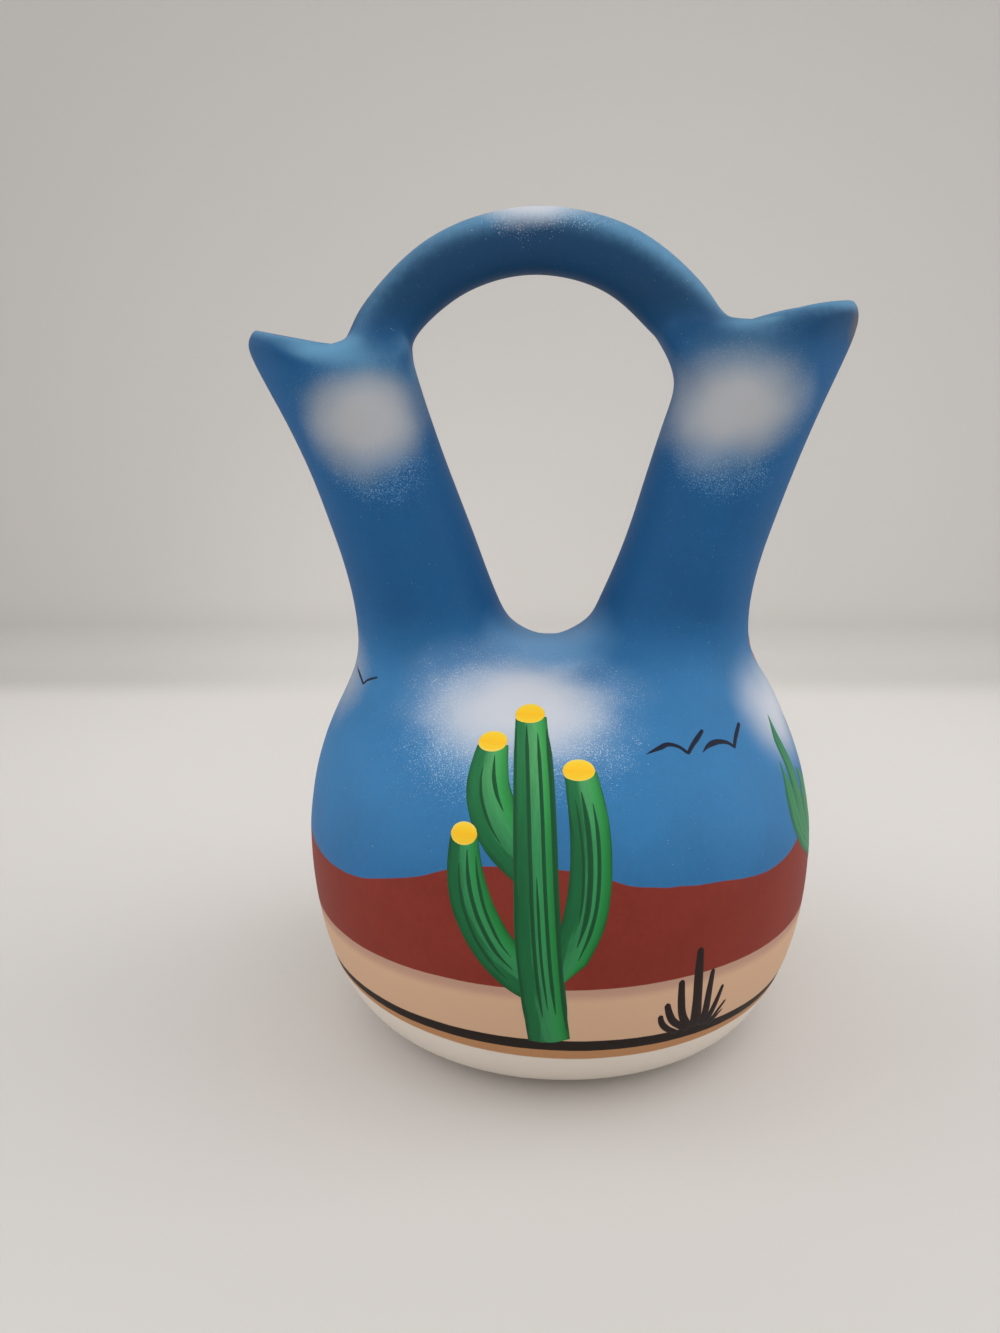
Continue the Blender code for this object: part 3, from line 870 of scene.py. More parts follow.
clouds = (
    # front of the body
    ("veil", puff((-14.2, -41, 113.8), (44, 44, 23.2), 0.08, 0.80)),
    # painted highlight on the saddle between the spouts
    ("saddleHighlight", puff((-5, -7, 124), (29, 36, 16), 0.0, 0.66)),
    ("mist", puff((-16.5, -52, 104.5), (33, 26, 16), 0.0, 0.3, 0.65)),
    ("bright", puff((-13.6, -42.6, 112.5), (33.1, 34.5, 16.2), 0.20, 1.0, 0.45)),
    # left spout, then right spout
    ("thin", puff((-57.8, -20, 192.2), (23.2, 44, 23.6), 0.20, 0.65)),
    ("shaded", puff((-57.6, -20, 190.4), (21.7, 44.6, 18.5), 0.22, 1.0, 0.15)),
    ("faint", puff((-53, -20, 176), (14, 22, 9), 0.0, 0.0, 0.6)),
    ("thin", puff((48.1, -19.5, 196.5), (26.2, 46, 26.2), 0.20, 0.7, 0.0, 0.16)),
    ("shaded", puff((47.1, -19.5, 194.5), (26.5, 47.3, 20.2), 0.15, 1.0, 0.15, 0.16)),
    ("faint", puff((45, -20, 177.5), (16, 22, 9), 0.0, 0.0, 0.6)),
    # crown of the handle, both sides of the body, and the rims
    ("bright", puff((-10, -1, 250.5), (19, 14, 10.5), 0.3, 0.93, 0.4)),
    ("mist", puff((6, -4, 248), (14, 9, 6), 0.0, 0.0, 0.4)),
    ("bright", puff((64, -15, 105.2), (20.8, 33, 24), 0.0, 0.95)),
    ("shaded", puff((-65, -4, 111), (12, 19, 20), 0.0, 0.62, 0.2)),
    # painted highlight along the top of the left spout's rim
    ("lip", puff((-66.8, -18, 210.4), (18, 12, 6.2), 0.1, 0.85, 0.0, -0.17)),
    ("rubbed", puff((83.2, -8, 216.5), (4.5, 11, 10), 0.0, 0.75, 0.2)),
    # back
    ("shaded", puff((-59, 21, 189), (25, 38, 20.5), 0.22, 1.0, 0.15)),
    ("shaded", puff((50, 21, 193), (25, 38, 20.5), 0.22, 1.0, 0.15)),
    ("veil", puff((8, 40, 111), (44, 40, 19), 0.10, 0.75)),
    ("bright", puff((10, 42.6, 112.5), (32.5, 34, 15), 0.20, 1.0, 0.5)),
)
# the roots of the handle, kept free of the mist and of the painted highlight that lie on the rims
rootsWithoutMistAndHighlight = []
for side in (-1, 1):
    rootsWithoutMistAndHighlight.append(puff((34.5, 14 * side, 220.5), (16.5, 11, 11.2), 0.3))
    rootsWithoutMistAndHighlight.append(puff((-51, 13 * side, 216.8), (13, 11, 9.8), 0.3))

groundPaint = dict(
    red=paint(130, 45, 32),
    deepRed=paint(120, 38, 27),
    haze=paint(179, 140, 121),
    tan=paint(201, 164, 134),
    line=paint(28, 17, 12),
    ochre=paint(176, 127, 86),
    base=paint(217, 207, 195),
    # azimuth in degrees, height in mm
    mesaTop=(
        (-180, 70), (-150, 75), (-122, 73), (-98, 68), (-78, 65.6), (-56, 64.6), (-36, 70.6), (-15, 78.6),
        (-2, 78.4), (14, 73.2), (30, 70.9), (48, 68.8), (62, 72), (84, 78.5), (112, 75), (146, 67.5),
        (180, 70),
    ),
    mesaRange=100 * mm,
    mesaDrift=(9 * mm, 0.9 * mm),
    mesaEdge=0.18 * mm,
    redFoot=44.1 * mm,
    redTilt=0.012,
    redEdge=0.15 * mm,
    redRange=(0.3, 0.7),
    hazeDepth=4.8 * mm,
    hazeStart=0.2,
    # rings painted on a wheel: nearly level, with a slight drift
    ringDrift=(30 * mm, 0.8 * mm),
    lineTop=26.4 * mm,
    lineFoot=22.5 * mm,
    lineTilt=-0.017,
    lineThinning=0.26,
    lineEdge=0.14 * mm,
    ochreFoot=19.0 * mm,
    ochreThinning=0.75,
    ochreEdge=0.3 * mm,
)
rawClay = dict(
    light=paint(186, 122, 84),
    dark=paint(150, 92, 62),
    toneRange=(0.35, 0.65),
    # bare inside, under the foot and where the spray didn't reach
    sprayGrain=1.1 * mm,
    sprayShare=0.5,
    bareRange=(0.5, 0.95),
    # rubbed off along the lips
    chipped=paint(126, 88, 66),
    chipGrain=1.6 * mm,
    chipRange=(0.50, 0.58),
    chipShare=0.8,
)
potFinish = dict(
    dust=paint(200, 194, 190),
    dustShare=0.4,
    # how rough paint is by its tone, and how much rougher bare clay
    rough=(0.16, 0.5),
    bareRough=0.25,
    tooth=(0.3, 0.1 * mm),
)


def paintSky(tree, place, axes, tooth):
    colour = skyPaint["low"]
    for tone, start, end in skyPaint["layers"]:
        colour = blend(tree, ease(tree, axes["Z"], start, end), colour, tone)

    # mist from the airbrush settled on what faces up, together with a painted highlight on those up-facing
    # tops
    normal = addNode(tree, "ShaderNodeTexCoord").outputs["Normal"]
    upward = vectorCalc(tree, "DOT_PRODUCT", normal, skyPaint["mistAndLightFrom"])
    slope = calc(tree, "ADD", upward, skyPaint["mistAndHighlightShift"])
    grained = scaled(tree, tooth["Tone"], skyPaint["mistAndHighlightGrain"], slope)
    nearRims = ease(tree, axes["Z"], *skyPaint["rimFade"])
    settled = times(tree, ease(tree, grained, *skyPaint["mistAndHighlightRange"]), nearRims)
    for root in rootsWithoutMistAndHighlight:
        mask = useGroup(tree, sprayCloud, {"Vector": place, **root})["Mask"]
        settled = times(tree, settled, minus(tree, 1.0, mask))
    share = times(tree, settled, skyPaint["mistAndHighlightShare"])
    colour = blend(tree, share, colour, skyPaint["settled"])
    colour = dim(tree, colour, scaled(tree, tooth["Tone"], *skyPaint["unevenness"]))
    for tone, cloud in clouds:
        mask = useGroup(tree, sprayCloud, {"Vector": place, **cloud})["Mask"]
        colour = blend(tree, mask, colour, cloudTones[tone])
    return colour


def mesaHeight(tree, place, axes):
    # the mesa's top line, read from the azimuth
    turn = calc(tree, "ARCTAN2", axes["X"], times(tree, axes["Y"], -1.0))
    share = scaled(tree, turn, 1 / (2 * math.pi), 0.5)
    curve = addNode(tree, "ShaderNodeFloatCurve", {"Value": share})
    points = curve.mapping.curves[0].points
    reach = groundPaint["mesaRange"]
    stops = [(azimuth / 360 + 0.5, height * mm / reach) for azimuth, height in groundPaint["mesaTop"]]
    for stop in stops[1:-1]:
        points.new(*stop)
    points[0].location, points[-1].location = stops[0], stops[-1]
    curve.mapping.update()
    return scaled(tree, curve.outputs[0], reach, drift(tree, place, *groundPaint["mesaDrift"]))


def overPaint(tree, colour, height, edge, soft, paintColour):
    # everything below this edge gets the next band's colour
    return blend(tree, ease(tree, minus(tree, edge, height), -soft, soft), colour, paintColour)


def paintGround(tree, place, axes, tooth, colour, land):
    red = blend(tree, ease(tree, tooth["Tone"], *land["redRange"]), land["deepRed"], land["red"])
    colour = overPaint(tree, colour, axes["Z"], mesaHeight(tree, place, axes), land["mesaEdge"], red)
    height = calc(tree, "ADD", axes["Z"], drift(tree, place, *land["ringDrift"]))
    upper = scaled(tree, axes["X"], -land["redTilt"], height)
    lower = scaled(tree, axes["X"], -land["lineTilt"], height)
    fromRed = minus(tree, land["redFoot"], upper)
    hazeShare = ease(tree, fromRed, land["hazeStart"] * land["hazeDepth"], land["hazeDepth"])
    sand = blend(tree, hazeShare, land["haze"], land["tan"])
    colour = overPaint(tree, colour, upper, land["redFoot"], land["redEdge"], sand)
    colour = overPaint(tree, colour, lower, land["lineTop"], land["lineEdge"], land["line"])
    outwards = times(tree, axes["X"], axes["X"])
    edge = scaled(tree, outwards, land["lineThinning"], land["lineFoot"])
    colour = overPaint(tree, colour, lower, edge, land["lineEdge"], land["ochre"])
    edge = scaled(tree, outwards, land["ochreThinning"], land["ochreFoot"])
    return overPaint(tree, colour, lower, edge, land["ochreEdge"], land["base"])


def makePotMaterial():
    material, tree, shader, place = newMaterial("paintedClay")
    axes = axesOf(tree, place)
    tooth = useGroup(tree, clayTooth, {"Vector": place, "Grain": 1.0})
    colour = paintSky(tree, place, axes, tooth)
    colour = paintGround(tree, place, axes, tooth, colour, groundPaint)
    dusty = times(tree, tooth["Specks"], potFinish["dustShare"])
    colour = blend(tree, dusty, colour, potFinish["dust"])

    rubbing = grainNoise(tree, place, rawClay["chipGrain"], 3.0, 0.65)
    worn = ease(tree, times(tree, attribute(tree, "wornEdge"), rubbing), *rawClay["chipRange"])
    colour = blend(tree, times(tree, worn, rawClay["chipShare"]), colour, rawClay["chipped"])

    spray = grainNoise(tree, place, rawClay["sprayGrain"], 3.0)
    bare = scaled(tree, spray, rawClay["sprayShare"], attribute(tree, "bareClay"))
    bareShare = ease(tree, bare, *rawClay["bareRange"])
    toneShare = ease(tree, tooth["Tone"], *rawClay["toneRange"])
    clay = blend(tree, toneShare, rawClay["dark"], rawClay["light"])
    rough = scaled(tree, tooth["Tone"], *potFinish["rough"])
    rough = scaled(tree, bareShare, potFinish["bareRough"], rough)
    setSurface(tree, shader, blend(tree, bareShare, colour, clay), rough)
    addTooth(tree, shader, tooth["Height"], *potFinish["tooth"])
    return material


potSkin = buildPot(makePotMaterial())
print("pot built")


# brush strokes: thin ridges of paint laid on the skin
strokeForm = dict(
    aimFrom=200,  # mm
    curveSteps=16,
    # a pointed end tapers over this share of the stroke, or this far
    taperShare=0.4,
    taper=9 * mm,
    taperPower=0.7,
    corner=0.3 * mm,
    edgeLift=0.02,  # mm
    flatness=0.2,
)


def levelHit(facing, across, height):
    # where a level line, aimed at the pot from this side, meets the skin; distances in mm.
    # with no side given, across is the azimuth about the leaning axis of the round body
    turn = math.radians(across if facing is None else facing)
    outward = Vector((math.sin(turn), -math.cos(turn), 0))
    if facing is None:
        start = Vector((-potForm["lean"] * height * mm, 0, 0))
    else:
        start = Vector((math.cos(turn), math.sin(turn), 0)) * across * mm
    start += outward * strokeForm["aimFrom"] * mm
    return potSkin.ray_cast(start + Vector((0, 0, height * mm)), -outward)[0]


def smoothPath(knots, step):
    # even steps along a smooth curve through the knots, each a place and a half width
    places = [knots[0]] + list(knots) + [knots[-1]]
    dense = []
    for before, start, end, after in zip(places, places[1:], places[2:], places[3:]):
        for t in np.arange(strokeForm["curveSteps"]) / strokeForm["curveSteps"]:
            bend = (2 * before - 5 * start + 4 * end - after) * t * t
            bend += (3 * start - before - 3 * end + after) * t * t * t
            dense.append((2 * start + (end - before) * t + bend) / 2)
    dense = np.array(dense + [knots[-1]])
    lengths = np.linalg.norm(np.diff(dense[:, :3], axis=0), axis=1)
    along = np.concatenate(([0.0], np.cumsum(lengths)))
    wanted = np.linspace(0.0, along[-1], max(4, int(along[-1] / step) + 1))
    return [np.interp(wanted, along, dense[:, i]) for i in range(4)], wanted


def endShare(kind, distance, halfWidth, length):
    # how much of its width a stroke has this far from its end
    distance += strokeForm["edgeLift"] * mm
    if kind == "point":
        reach = min(strokeForm["taperShare"] * length, strokeForm["taper"])
        return min(1.0, distance / reach) ** strokeForm["taperPower"]
    reach = {"round": halfWidth, "oval": length / 2, "cut": strokeForm["corner"]}[kind]
    share = min(1.0, distance / reach)
    return math.sqrt(share * (2 - share))


def strokeRows(points, facing, step, ends):
    # place, half width and length so far, from one end of the stroke to the other
    knots = [np.array((*levelHit(facing, *point[:2]), point[2] * mm)) for point in points]
    path, along = smoothPath(knots, step)
    length = along[-1]
    rows = []
    for x, y, z, width, at in zip(*path, along):
        half = width * endShare(ends[0], at, width, length)
        half *= endShare(ends[1], length - at, width, length)
        rows.append((Vector((x, y, z)), half, at))
    return rows


def sideOf(rows, i):
    before = rows[max(0, i - 1)][0]
    after = rows[min(len(rows) - 1, i + 1)][0]
    return (after - before).cross(potSkin.find_nearest(rows[i][0])[1]).normalized()


class PaintLayer:
    # all the strokes of one paint on one plant or flock, gathered into one mesh. lift is how proud
    # the paint stands and step how long a facet is, in mm; a stroke painted later stands prouder

    def __init__(self, name, material, slot="shoulder"):
        self.name, self.material, self.slot = name, material, slot
        self.corners, self.faces, self.across, self.along = [], [], [], []

    def stroke(self, points, facing=None, lift=0.08, ends=("round", "round"), columns=5, step=0.9):
        rows = strokeRows(points, facing, step * mm, ends)
        first = len(self.corners)
        for i, (place, half, at) in enumerate(rows):
            side = sideOf(rows, i)
            for k in range(columns):
                v = 2 * k / (columns - 1) - 1
                spot, normal = potSkin.find_nearest(place + side * half * v)[:2]
                proud = lift * (1 - strokeForm["flatness"] * v * v)
                if k in (0, columns - 1) or i in (0, len(rows) - 1):
                    proud = strokeForm["edgeLift"]
                self.corners.append(spot + normal * proud * mm)
                self.across.append(v)
                self.along.append(at / mm)
        for i in range(len(rows) - 1):
            for k in range(columns - 1):
                corner = first + i * columns + k
                self.faces.append((corner, corner + 1, corner + columns + 1, corner + columns))

    def finish(self):
        mesh = bpy.data.meshes.new(self.name)
        mesh.from_pydata(self.corners, [], self.faces)
        addMarks(mesh, strokeAcross=self.across, strokeAlong=self.along)
        bm = bmesh.new()
        bm.from_mesh(mesh)
        for face in bm.faces:
            face.smooth = True
            if face.normal.dot(potSkin.find_nearest(face.calc_center_median())[1]) < 0:
                face.normal_flip()
        bm.to_mesh(mesh)
        bm.free()
        mesh.materials.append(self.material)
        layer = showObject(self.name, mesh)
        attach(layer, "root")


strokePaint = dict(spread=4.0, grain=0.8, sway=0.3, rough=(0.2, 0.4), relief=0.8, tooth=(0.3, 0.09 * mm))


def makeStrokePaint(name, stops, contrast=0.3, shade=None):
    # the stops are screen colours from the left edge of a stroke to its right edge, each with its place;
    # a shade is what the colour is multiplied by low down, and the heights where that starts and ends
    material, tree, shader, place = newMaterial(name)
    across = attribute(tree, "strokeAcross")
    given = {"Across": times(tree, across, strokePaint["spread"]), "Along": attribute(tree, "strokeAlong")}
    marks = useGroup(tree, brushMarks, given)
    tooth = useGroup(tree, clayTooth, {"Vector": place, "Grain": strokePaint["grain"]})
    share = scaled(tree, across, 0.5, 0.5)
    swayed = scaled(tree, minus(tree, marks["Tone"], 0.5), strokePaint["sway"], share)
    colour = ramp(tree, swayed, [(stop[0], paint(*stop[1:])) for stop in stops])
    colour = dim(tree, colour, scaled(tree, marks["Tone"], 2 * contrast, 1 - contrast))
    if shade:
        low = ease(tree, axesOf(tree, place)["Z"], *shade[1:], 1.0, 0.0)
        colour = blend(tree, low, colour, shade[0], "MULTIPLY")
    setSurface(tree, shader, colour, scaled(tree, marks["Tone"], *strokePaint["rough"]))
    relief = scaled(tree, marks["Height"], strokePaint["relief"], tooth["Height"])
    addTooth(tree, shader, relief, *strokePaint["tooth"])
    return material


limbPaint = makeStrokePaint(
    "limbPaint",
    (
        (0, 16, 82, 42), (0.1, 28, 108, 60), (0.33, 34, 114, 64), (0.4, 70, 144, 88),
        (0.62, 78, 158, 94), (0.78, 58, 156, 78), (0.93, 42, 134, 62), (1, 22, 94, 46),
    ),
    shade=((0.38, 0.72, 0.71, 1.0), 80 * mm, 109 * mm),
)
ribPaint = makeStrokePaint("ribPaint", ((0, 22, 92, 50), (0.4, 10, 70, 36), (1, 18, 84, 46)))
blossomPaint = makeStrokePaint(
    "blossomPaint",
    (
        (0, 232, 206, 98), (0.16, 242, 198, 40), (0.5, 244, 188, 26),
        (0.84, 242, 196, 40), (1, 234, 204, 92),
    ),
    contrast=0.1,
)
inkPaint = makeStrokePaint("inkPaint", ((0, 40, 22, 22), (0.5, 24, 14, 14), (1, 36, 20, 20)))
birdPaint = makeStrokePaint("birdPaint", ((0, 4, 18, 48), (0.5, 0, 10, 36), (1, 4, 18, 48)))
leafPaint = makeStrokePaint(
    "leafPaint",
    (
        (0, 24, 90, 62), (0.2, 33, 112, 74), (0.42, 56, 136, 86),
        (0.5, 24, 94, 62), (0.6, 52, 134, 84), (1, 31, 112, 68),
    ),
)
bloomPaint = makeStrokePaint("bloomPaint", ((0, 206, 116, 44), (0.5, 236, 160, 58), (1, 222, 134, 48)), 0.2)


# saguaro: a limb's path is (across, height, half width) from its foot to its tip, in mm as seen from its
# side; a rib is (where it lies across the limb at its foot and tip, start share, end share, half width);
# a blossom is (across, height, half width, half height)
saguaroLimbs = (
    dict(
        path=(
            (-9, 77.6, 6), (-14, 81.9, 6.6), (-18.5, 86.5, 6.7),
            (-21.5, 92, 6.5), (-22.7, 98, 5.9), (-21.2, 106, 4.3),
        ),
        foot="cut",
        ribs=((-0.3, -0.34, 0.28, 0.82, 0.58), (0.42, 0.2, 0.46, 0.92, 0.72)),
        blossom=(-21.3, 106.2, 3.9, 3.7),
    ),
    dict(
        path=(
            (-8.5, 45.2, 6.2), (-14.4, 49.2, 6.6), (-20, 54.4, 6.3), (-24.2, 61, 6.3),
            (-27.3, 68.5, 6), (-28.9, 77, 5.1), (-29, 85.6, 3.9),
        ),
        foot="cut",
        ribs=(
            (-0.62, -0.3, 0.14, 0.86, 0.72), (-0.1, 0.22, 0.16, 0.93, 0.9), (0.3, 0.74, 0.22, 0.88, 0.68),
        ),
        blossom=(-29, 85.5, 3.5, 3.3),
    ),
    dict(
        path=(
            (-3.4, 45, 2.2), (-1.7, 50.8, 4.4), (0.6, 57.6, 5.4), (2.7, 63.8, 5.8),
            (4.1, 71.5, 5.8), (4.7, 80.5, 5.6), (4.2, 90.5, 5.3), (2.2, 101, 4.4),
        ),
        foot="point",
        ribs=(
            (-0.2, -0.56, 0.3, 0.88, 0.62), (0.1, -0.16, 0.2, 0.92, 1.12), (0.45, 0.34, 0.15, 0.86, 0.8),
        ),
        blossom=(1.9, 101, 4.4, 3.6),
    ),
    dict(
        path=(
            (-5.7, 25.7, 5.8), (-7.3, 38, 5.9), (-9, 53, 6.2), (-9.8, 69.5, 5.9),
            (-10.2, 83, 5.6), (-10.4, 96, 5.4), (-10.7, 111.6, 4.3),
        ),
        foot="cut",
        ribs=(
            (-0.92, -0.94, 0.04, 0.96, 0.5), (-0.14, -0.3, 0.09, 0.97, 0.85),
            (0.14, 0.06, 0.12, 0.52, 0.62), (0.48, 0.36, 0.1, 0.95, 0.8), (0.9, 0.93, 0.04, 0.955, 0.85),
        ),
        blossom=(-10.9, 111.8, 4.1, 4.4),
    ),
)
saguaros = (
    dict(name="saguaro_front", facing=0, limbs=(0, 1, 2, 3), mirror=1, size=1, middle=0),
    dict(name="saguaro_back", facing=184, limbs=(1, 2, 3), mirror=-1, size=0.95, middle=-8),
    dict(name="saguaro_left", facing=-104, limbs=(1, 3), mirror=-1, size=0.86, middle=-9),
)
ribKnots = 6


def planted(plant, across, height, *sizes):
    # the front plant's measure, carried to this plant's foot, size and side
    foot = saguaroLimbs[-1]["path"][0][1]
    moved = plant["mirror"] * (across - plant["middle"]) * plant["size"]
    return (moved, foot + (height - foot) * plant["size"], *(size * plant["size"] for size in sizes))


def ribPath(plant, rows, rib):
    # the limb's rows followed at one side, as seen from the plant's side
    low, high, start, end, halfWidth = rib
    turn = math.radians(plant["facing"])
    points = []
    for share in np.arange(ribKnots + 1) / ribKnots:
        i = round(mix(start, end, share) * (len(rows) - 1))
        spot = rows[i][0] + sideOf(rows, i) * rows[i][1] * mix(low, high, share)
        across = (spot.x * math.cos(turn) + spot.y * math.sin(turn)) / mm
        points.append((across, spot.z / mm, halfWidth * plant["size"]))
    return points


def paintSaguaro(plant):
    limbs = PaintLayer(plant["name"] + "_limbs", limbPaint)
    ribs = PaintLayer(plant["name"] + "_ribs", ribPaint)
    blossoms = PaintLayer(plant["name"] + "_blossoms", blossomPaint)
    facing = plant["facing"]
    for order, number in enumerate(plant["limbs"]):
        limb = saguaroLimbs[number]
        lift = 0.05 + 0.03 * order
        path = [planted(plant, *point) for point in limb["path"]]
        limbs.stroke(path, facing, lift, (limb["foot"], "cut"), columns=9)
        rows = strokeRows(path, facing, 0.9 * mm, ("cut", "cut"))
        for rib in limb["ribs"]:
            ribs.stroke(ribPath(plant, rows, rib), facing, lift + 0.05, ("point", "point"), step=0.8)
        across, height, halfWidth, halfHeight = planted(plant, *limb["blossom"])
        path = [(across + side * halfWidth, height, halfHeight) for side in (-1, 0, 1)]
        blossoms.stroke(path, facing, 0.24, ("oval", "oval"), columns=7, step=0.5)
    for layer in (limbs, ribs, blossoms):
        layer.finish()


for plant in saguaros:
    paintSaguaro(plant)


# from here on a point is (azimuth in degrees, height in mm, half width in mm)
shrubBlades = (
    ((27.2, 52.8, 1.05), (27.3, 44.1, 1.5), (27.9, 35.5, 1.6), (29, 25.2, 2)),
    ((23.3, 43.8, 0.95), (23.8, 37, 1.2), (24.9, 31, 1.25), (27.5, 25.2, 1.5)),
    ((20.5, 36.8, 0.9), (21.4, 33, 1.1), (23.1, 29.3, 1.15), (27.4, 25, 1.2)),
    ((19.3, 33, 0.8), (20, 30, 0.95), (21.6, 27.4, 1), (24.6, 24.8, 0.9)),
    ((30.9, 44.8, 0.75), (30.7, 37.9, 1.1), (30.9, 31, 1.3), (31, 25, 1.5)),
    ((34.4, 38.2, 0.6), (33.5, 33.1, 0.95), (32.7, 28.8, 1.1), (31.8, 24.6, 1.2)),
    ((36.4, 32, 0.42), (34.9, 29.2, 0.65), (33.8, 26.8, 0.75), (32.4, 24.4, 0.8)),
    ((36.2, 28.8, 0.32), (34.9, 26.9, 0.48), (33.8, 25.2, 0.55), (32.6, 24, 0.55)),
)
birds = (
    (
        (
            (21, 103.5, 0.6), (23.2, 104, 0.75), (25.9, 104.5, 0.8), (28.7, 104.9, 0.72),
            (31.4, 104.1, 0.6), (33, 102.4, 0.55),
        ),
        ((32.7, 102.3, 0.5), (35.5, 103.8, 0.62), (38.8, 105.1, 0.7), (42.4, 106.4, 0.5)),
    ),
    (
        (
            (37.2, 102, 0.6), (39.9, 103, 0.85), (42.8, 103.4, 0.92), (45.3, 103.2, 0.82),
            (47.2, 102.5, 0.66), (48.1, 101.3, 0.6),
        ),
        ((47.8, 101.1, 0.5), (50.3, 102.7, 0.58), (53.2, 104.1, 0.62), (56.7, 105.6, 0.52)),
    ),
    (
        ((-84.6, 115.8, 0.3), (-80.5, 114, 0.42), (-76.4, 111.8, 0.36)),
        ((-76.6, 111.7, 0.34), (-75.4, 113.3, 0.4), (-71.8, 115, 0.32)),
    ),
)
# how far round the pot each shrub and flock is painted, in degrees; all the birds are in the first
shrubTurns = (0, 118, 205)
birdTurns = (0, 112, -178)


def turned(points, turn):
    return [(azimuth + turn, height, halfWidth) for azimuth, height, halfWidth in points]


def paintShrubsAndBirds():
    ink = PaintLayer("shrubs_ink", inkPaint, "lower_bowl")
    for turn in shrubTurns:
        for order, blade in enumerate(shrubBlades):
            ink.stroke(turned(blade, turn), lift=0.07 + 0.005 * order, step=0.6)
    ink.finish()
    ink = PaintLayer("birds_ink", birdPaint)
    for turn in birdTurns:
        for wings in birds if turn == 0 else birds[:2]:
            for wing, lift, tip in zip(wings, (0.06, 0.08), ("point", "round")):
                ink.stroke(turned(wing, turn), lift=lift, ends=(tip, "round"), step=0.5)
    ink.finish()


agave = dict(
    leaves=(
        ((92, 58, 3), (96.5, 70, 3.4), (98.5, 84, 2.7), (98, 100, 0.7)),
        ((91, 58, 3), (87.5, 70, 3.4), (86, 83, 2.7), (87.5, 99, 0.7)),
        ((94, 57, 3), (103, 66, 3.6), (108.5, 78, 3.2), (109, 92, 2), (106, 103, 0.6)),
        ((88, 57, 3.4), (80, 63.5, 4.6), (74.5, 71, 5.8), (74, 79, 5.8), (73.6, 84, 4.4), (71, 89, 1)),
        (
            (88, 56, 3), (78, 61, 3.4), (70.5, 66.5, 3.8), (67.3, 74, 4), (66.7, 84, 3.6), (66.8, 92, 3),
            (67.2, 98, 2.4), (71.1, 104.4, 1),
        ),
        ((95, 56, 3), (107, 60.5, 3.5), (116, 68, 3.4), (121, 79, 2.4), (121, 91, 0.6)),
        (
            (88, 54.5, 3), (78, 59.5, 3.4), (70.8, 65, 3), (65.2, 70.5, 3.7), (62.2, 77.5, 4.1),
            (61.8, 84.5, 3.5), (62.2, 93.8, 0.8),
        ),
        ((91.5, 55, 3.4), (91, 65, 3.6), (92, 78, 2.6), (92.5, 90, 0.6)),
    ),
    stalk=((92.5, 86, 1), (93, 100, 0.9), (94, 112, 0.8), (95, 127, 0.6)),
    twigs=((94.2, 114), (94.6, 119), (95, 124)),
    twigWidths=(0.3, 0.25),
    bloomReach=1.6,
    blooms=(
        (88.5, 117.5, 1.9), (100.5, 118, 1.9), (86.8, 122.5, 1.9), (101.5, 123, 1.8), (89.5, 127.2, 1.8),
        (99.2, 127.5, 1.7), (94.6, 129.6, 1.9),
    ),
)


def paintAgave():
    leaves = PaintLayer("agave_leaves", leafPaint)
    stalk = PaintLayer("agave_stalk", ribPaint, "right_spout")
    blooms = PaintLayer("agave_blooms", bloomPaint, "right_spout")
    stalk.stroke(agave["stalk"], lift=0.06, ends=("cut", "point"))
    for order, leaf in enumerate(agave["leaves"]):
        leaves.stroke(leaf, lift=0.05 + 0.012 * order, ends=("round", "point"), columns=7)
    rootWidth, tipWidth = agave["twigWidths"]
    for number, (azimuth, height, width) in enumerate(agave["blooms"]):
        root = agave["twigs"][min(2, number // 2)]
        twig = ((*root, rootWidth), (azimuth, height, tipWidth))
        stalk.stroke(twig, lift=0.05, ends=("cut", "cut"))
        bloom = [(azimuth + side * agave["bloomReach"], height, width) for side in (-1, 0, 1)]
        blooms.stroke(bloom, lift=0.14, ends=("oval", "oval"), step=0.4)
    for layer in (leaves, stalk, blooms):
        layer.finish()


paintShrubsAndBirds()
paintAgave()
print("scene painted on")


# floor and backdrop: one pale sweep of paper. a pool of light has a tone, a centre, the reach
# over which it fades, and its strength
sweep = dict(
    halfWidth=1.05,
    rows=(-1.3, -0.5, 0.0),
    back=0.42,
    bend=0.03,
    top=1.7,
    steps=14,
    floorTone=paint(210, 206, 202),
    wallTone=paint(178, 174, 171),
    wallPools=(
        (paint(205, 202, 198), (0.03, 0.42, 0.02), (0.10, 0.55), 1.0),
        (paint(226, 222, 218), (-0.03, 0.42, 0.0), (0.02, 0.24), 0.6),
    ),
    floorPools=((paint(224, 220, 216), (0.01, 0.26, 0.0), (0.16, 0.42), 0.85),),
    floorEnd=(0.345, 0.40),
    # painted shade: a darker band along the bend where the floor meets the wall
    crease=(paint(150, 146, 142), (0.385, 0.41, 0.0, 0.2), (0.43, 0.47, 1.0, 0.0)),
    # faint clouding of the paper: tone, size and strength
    clouding=(paint(150, 146, 140), 0.25, 0.06),
    rough=0.7,
)


def poolOn(tree, place, colour, pools):
    for tone, centre, reach, strength in pools:
        away = vectorCalc(tree, "LENGTH", vectorCalc(tree, "SUBTRACT", place, centre))
        colour = blend(tree, ease(tree, away, *reach, strength, 0.0), colour, tone)
    return colour


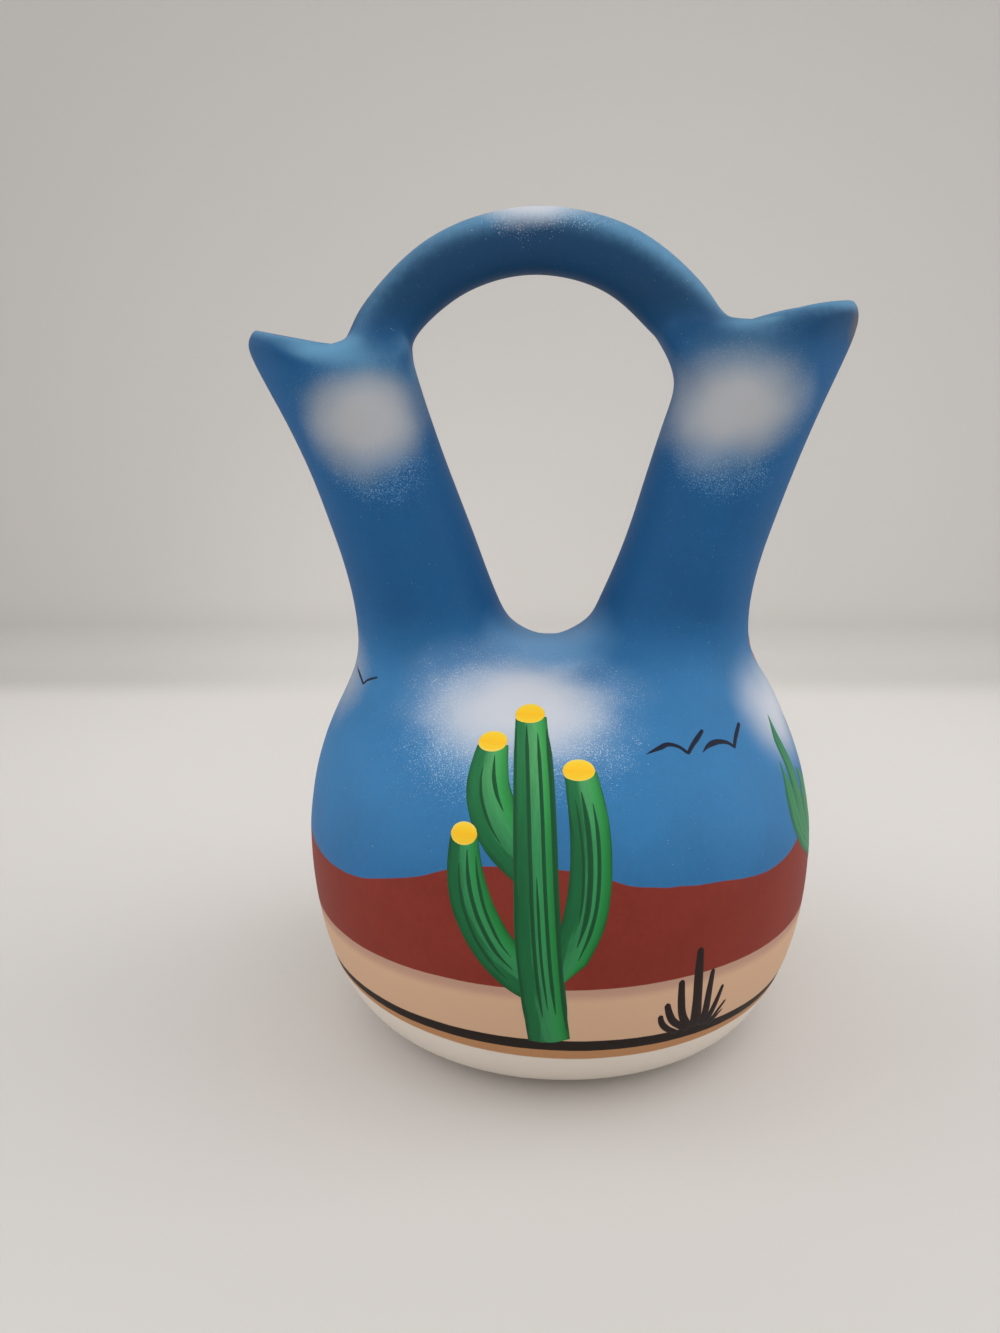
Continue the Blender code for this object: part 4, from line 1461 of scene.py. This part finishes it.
def buildSweep():
    back, bend = sweep["back"], sweep["bend"]
    profile = [(y, 0.0) for y in (*sweep["rows"], back - bend)]
    for i in range(1, sweep["steps"]):
        turn = math.pi / 2 * i / sweep["steps"]
        profile.append((back - bend * (1 - math.sin(turn)), bend * (1 - math.cos(turn))))
    profile += [(back, bend), (back, sweep["top"])]
    corners = [(side * sweep["halfWidth"], y, z) for y, z in profile for side in (-1, 1)]
    faces = [(2 * i, 2 * i + 1, 2 * i + 3, 2 * i + 2) for i in range(len(profile) - 1)]
    mesh = bpy.data.meshes.new("paperSweep")
    mesh.from_pydata(corners, [], faces)
    for polygon in mesh.polygons:
        polygon.use_smooth = True
    material, tree, shader, place = newMaterial("palePaper")
    run = vectorCalc(tree, "DOT_PRODUCT", place, (0.0, 1.0, 1.0))
    onWall = poolOn(tree, place, sweep["wallTone"], sweep["wallPools"])
    onFloor = poolOn(tree, place, sweep["floorTone"], sweep["floorPools"])
    colour = blend(tree, ease(tree, run, *sweep["floorEnd"]), onFloor, onWall)
    # painted shade darkening the bend between floor and wall
    tone, rise, fall = sweep["crease"]
    colour = blend(tree, times(tree, ease(tree, run, *rise), ease(tree, run, *fall)), colour, tone)
    tone, size, strength = sweep["clouding"]
    colour = blend(tree, times(tree, grainNoise(tree, place, size), strength), colour, tone)
    setSurface(tree, shader, colour, sweep["rough"])

    # from behind, the paper isn't seen
    behind = addNode(tree, "ShaderNodeNewGeometry").outputs["Backfacing"]
    clear = addNode(tree, "ShaderNodeBsdfTransparent")
    parts = {0: behind, 1: shader.outputs[0], 2: clear.outputs[0]}
    shown = addNode(tree, "ShaderNodeMixShader", parts)
    target = next(node for node in tree.nodes if node.type == "OUTPUT_MATERIAL")
    connect(tree, shown.outputs[0], target.inputs["Surface"])
    mesh.materials.append(material)
    showObject("paperSweep", mesh)


buildSweep()


# light: a broad soft one overhead, weaker ones at both sides and by the camera, and a pale room
lamps = (
    # name, place, height of the spot on the axis that it's aimed at, width, watts
    ("ceilingLight", (0.15, 0.20, 1.25), 0.10, 1.4, 6.0),
    ("leftLight", (-1.1, 0.0, 0.50), 0.06, 1.2, 4.4),
    ("rightLight", (1.1, 0.0, 0.50), 0.06, 1.2, 5.1),
    ("frontFill", (-0.2, -1.3, 0.55), 0.06, 1.2, 2.0),
)
roomLight = {"Color": paint(240, 240, 240), "Strength": 0.85}


def placeLights():
    for name, place, aimHeight, width, watts in lamps:
        light = bpy.data.lights.new(name, "AREA")
        light.shape = "SQUARE"
        light.size = width
        light.energy = watts
        holder = showObject(name, light)
        holder.location = place
        aim = Vector((0, 0, aimHeight)) - Vector(place)
        holder.rotation_euler = aim.to_track_quat("-Z", "Y").to_euler()
    world = bpy.data.worlds.new("room")
    world.use_nodes = True
    for key, value in roomLight.items():
        world.node_tree.nodes["Background"].inputs[key].default_value = value
    shownScene.world = world


placeLights()
shownScene.view_settings.view_transform = "Standard"
print("lights placed")
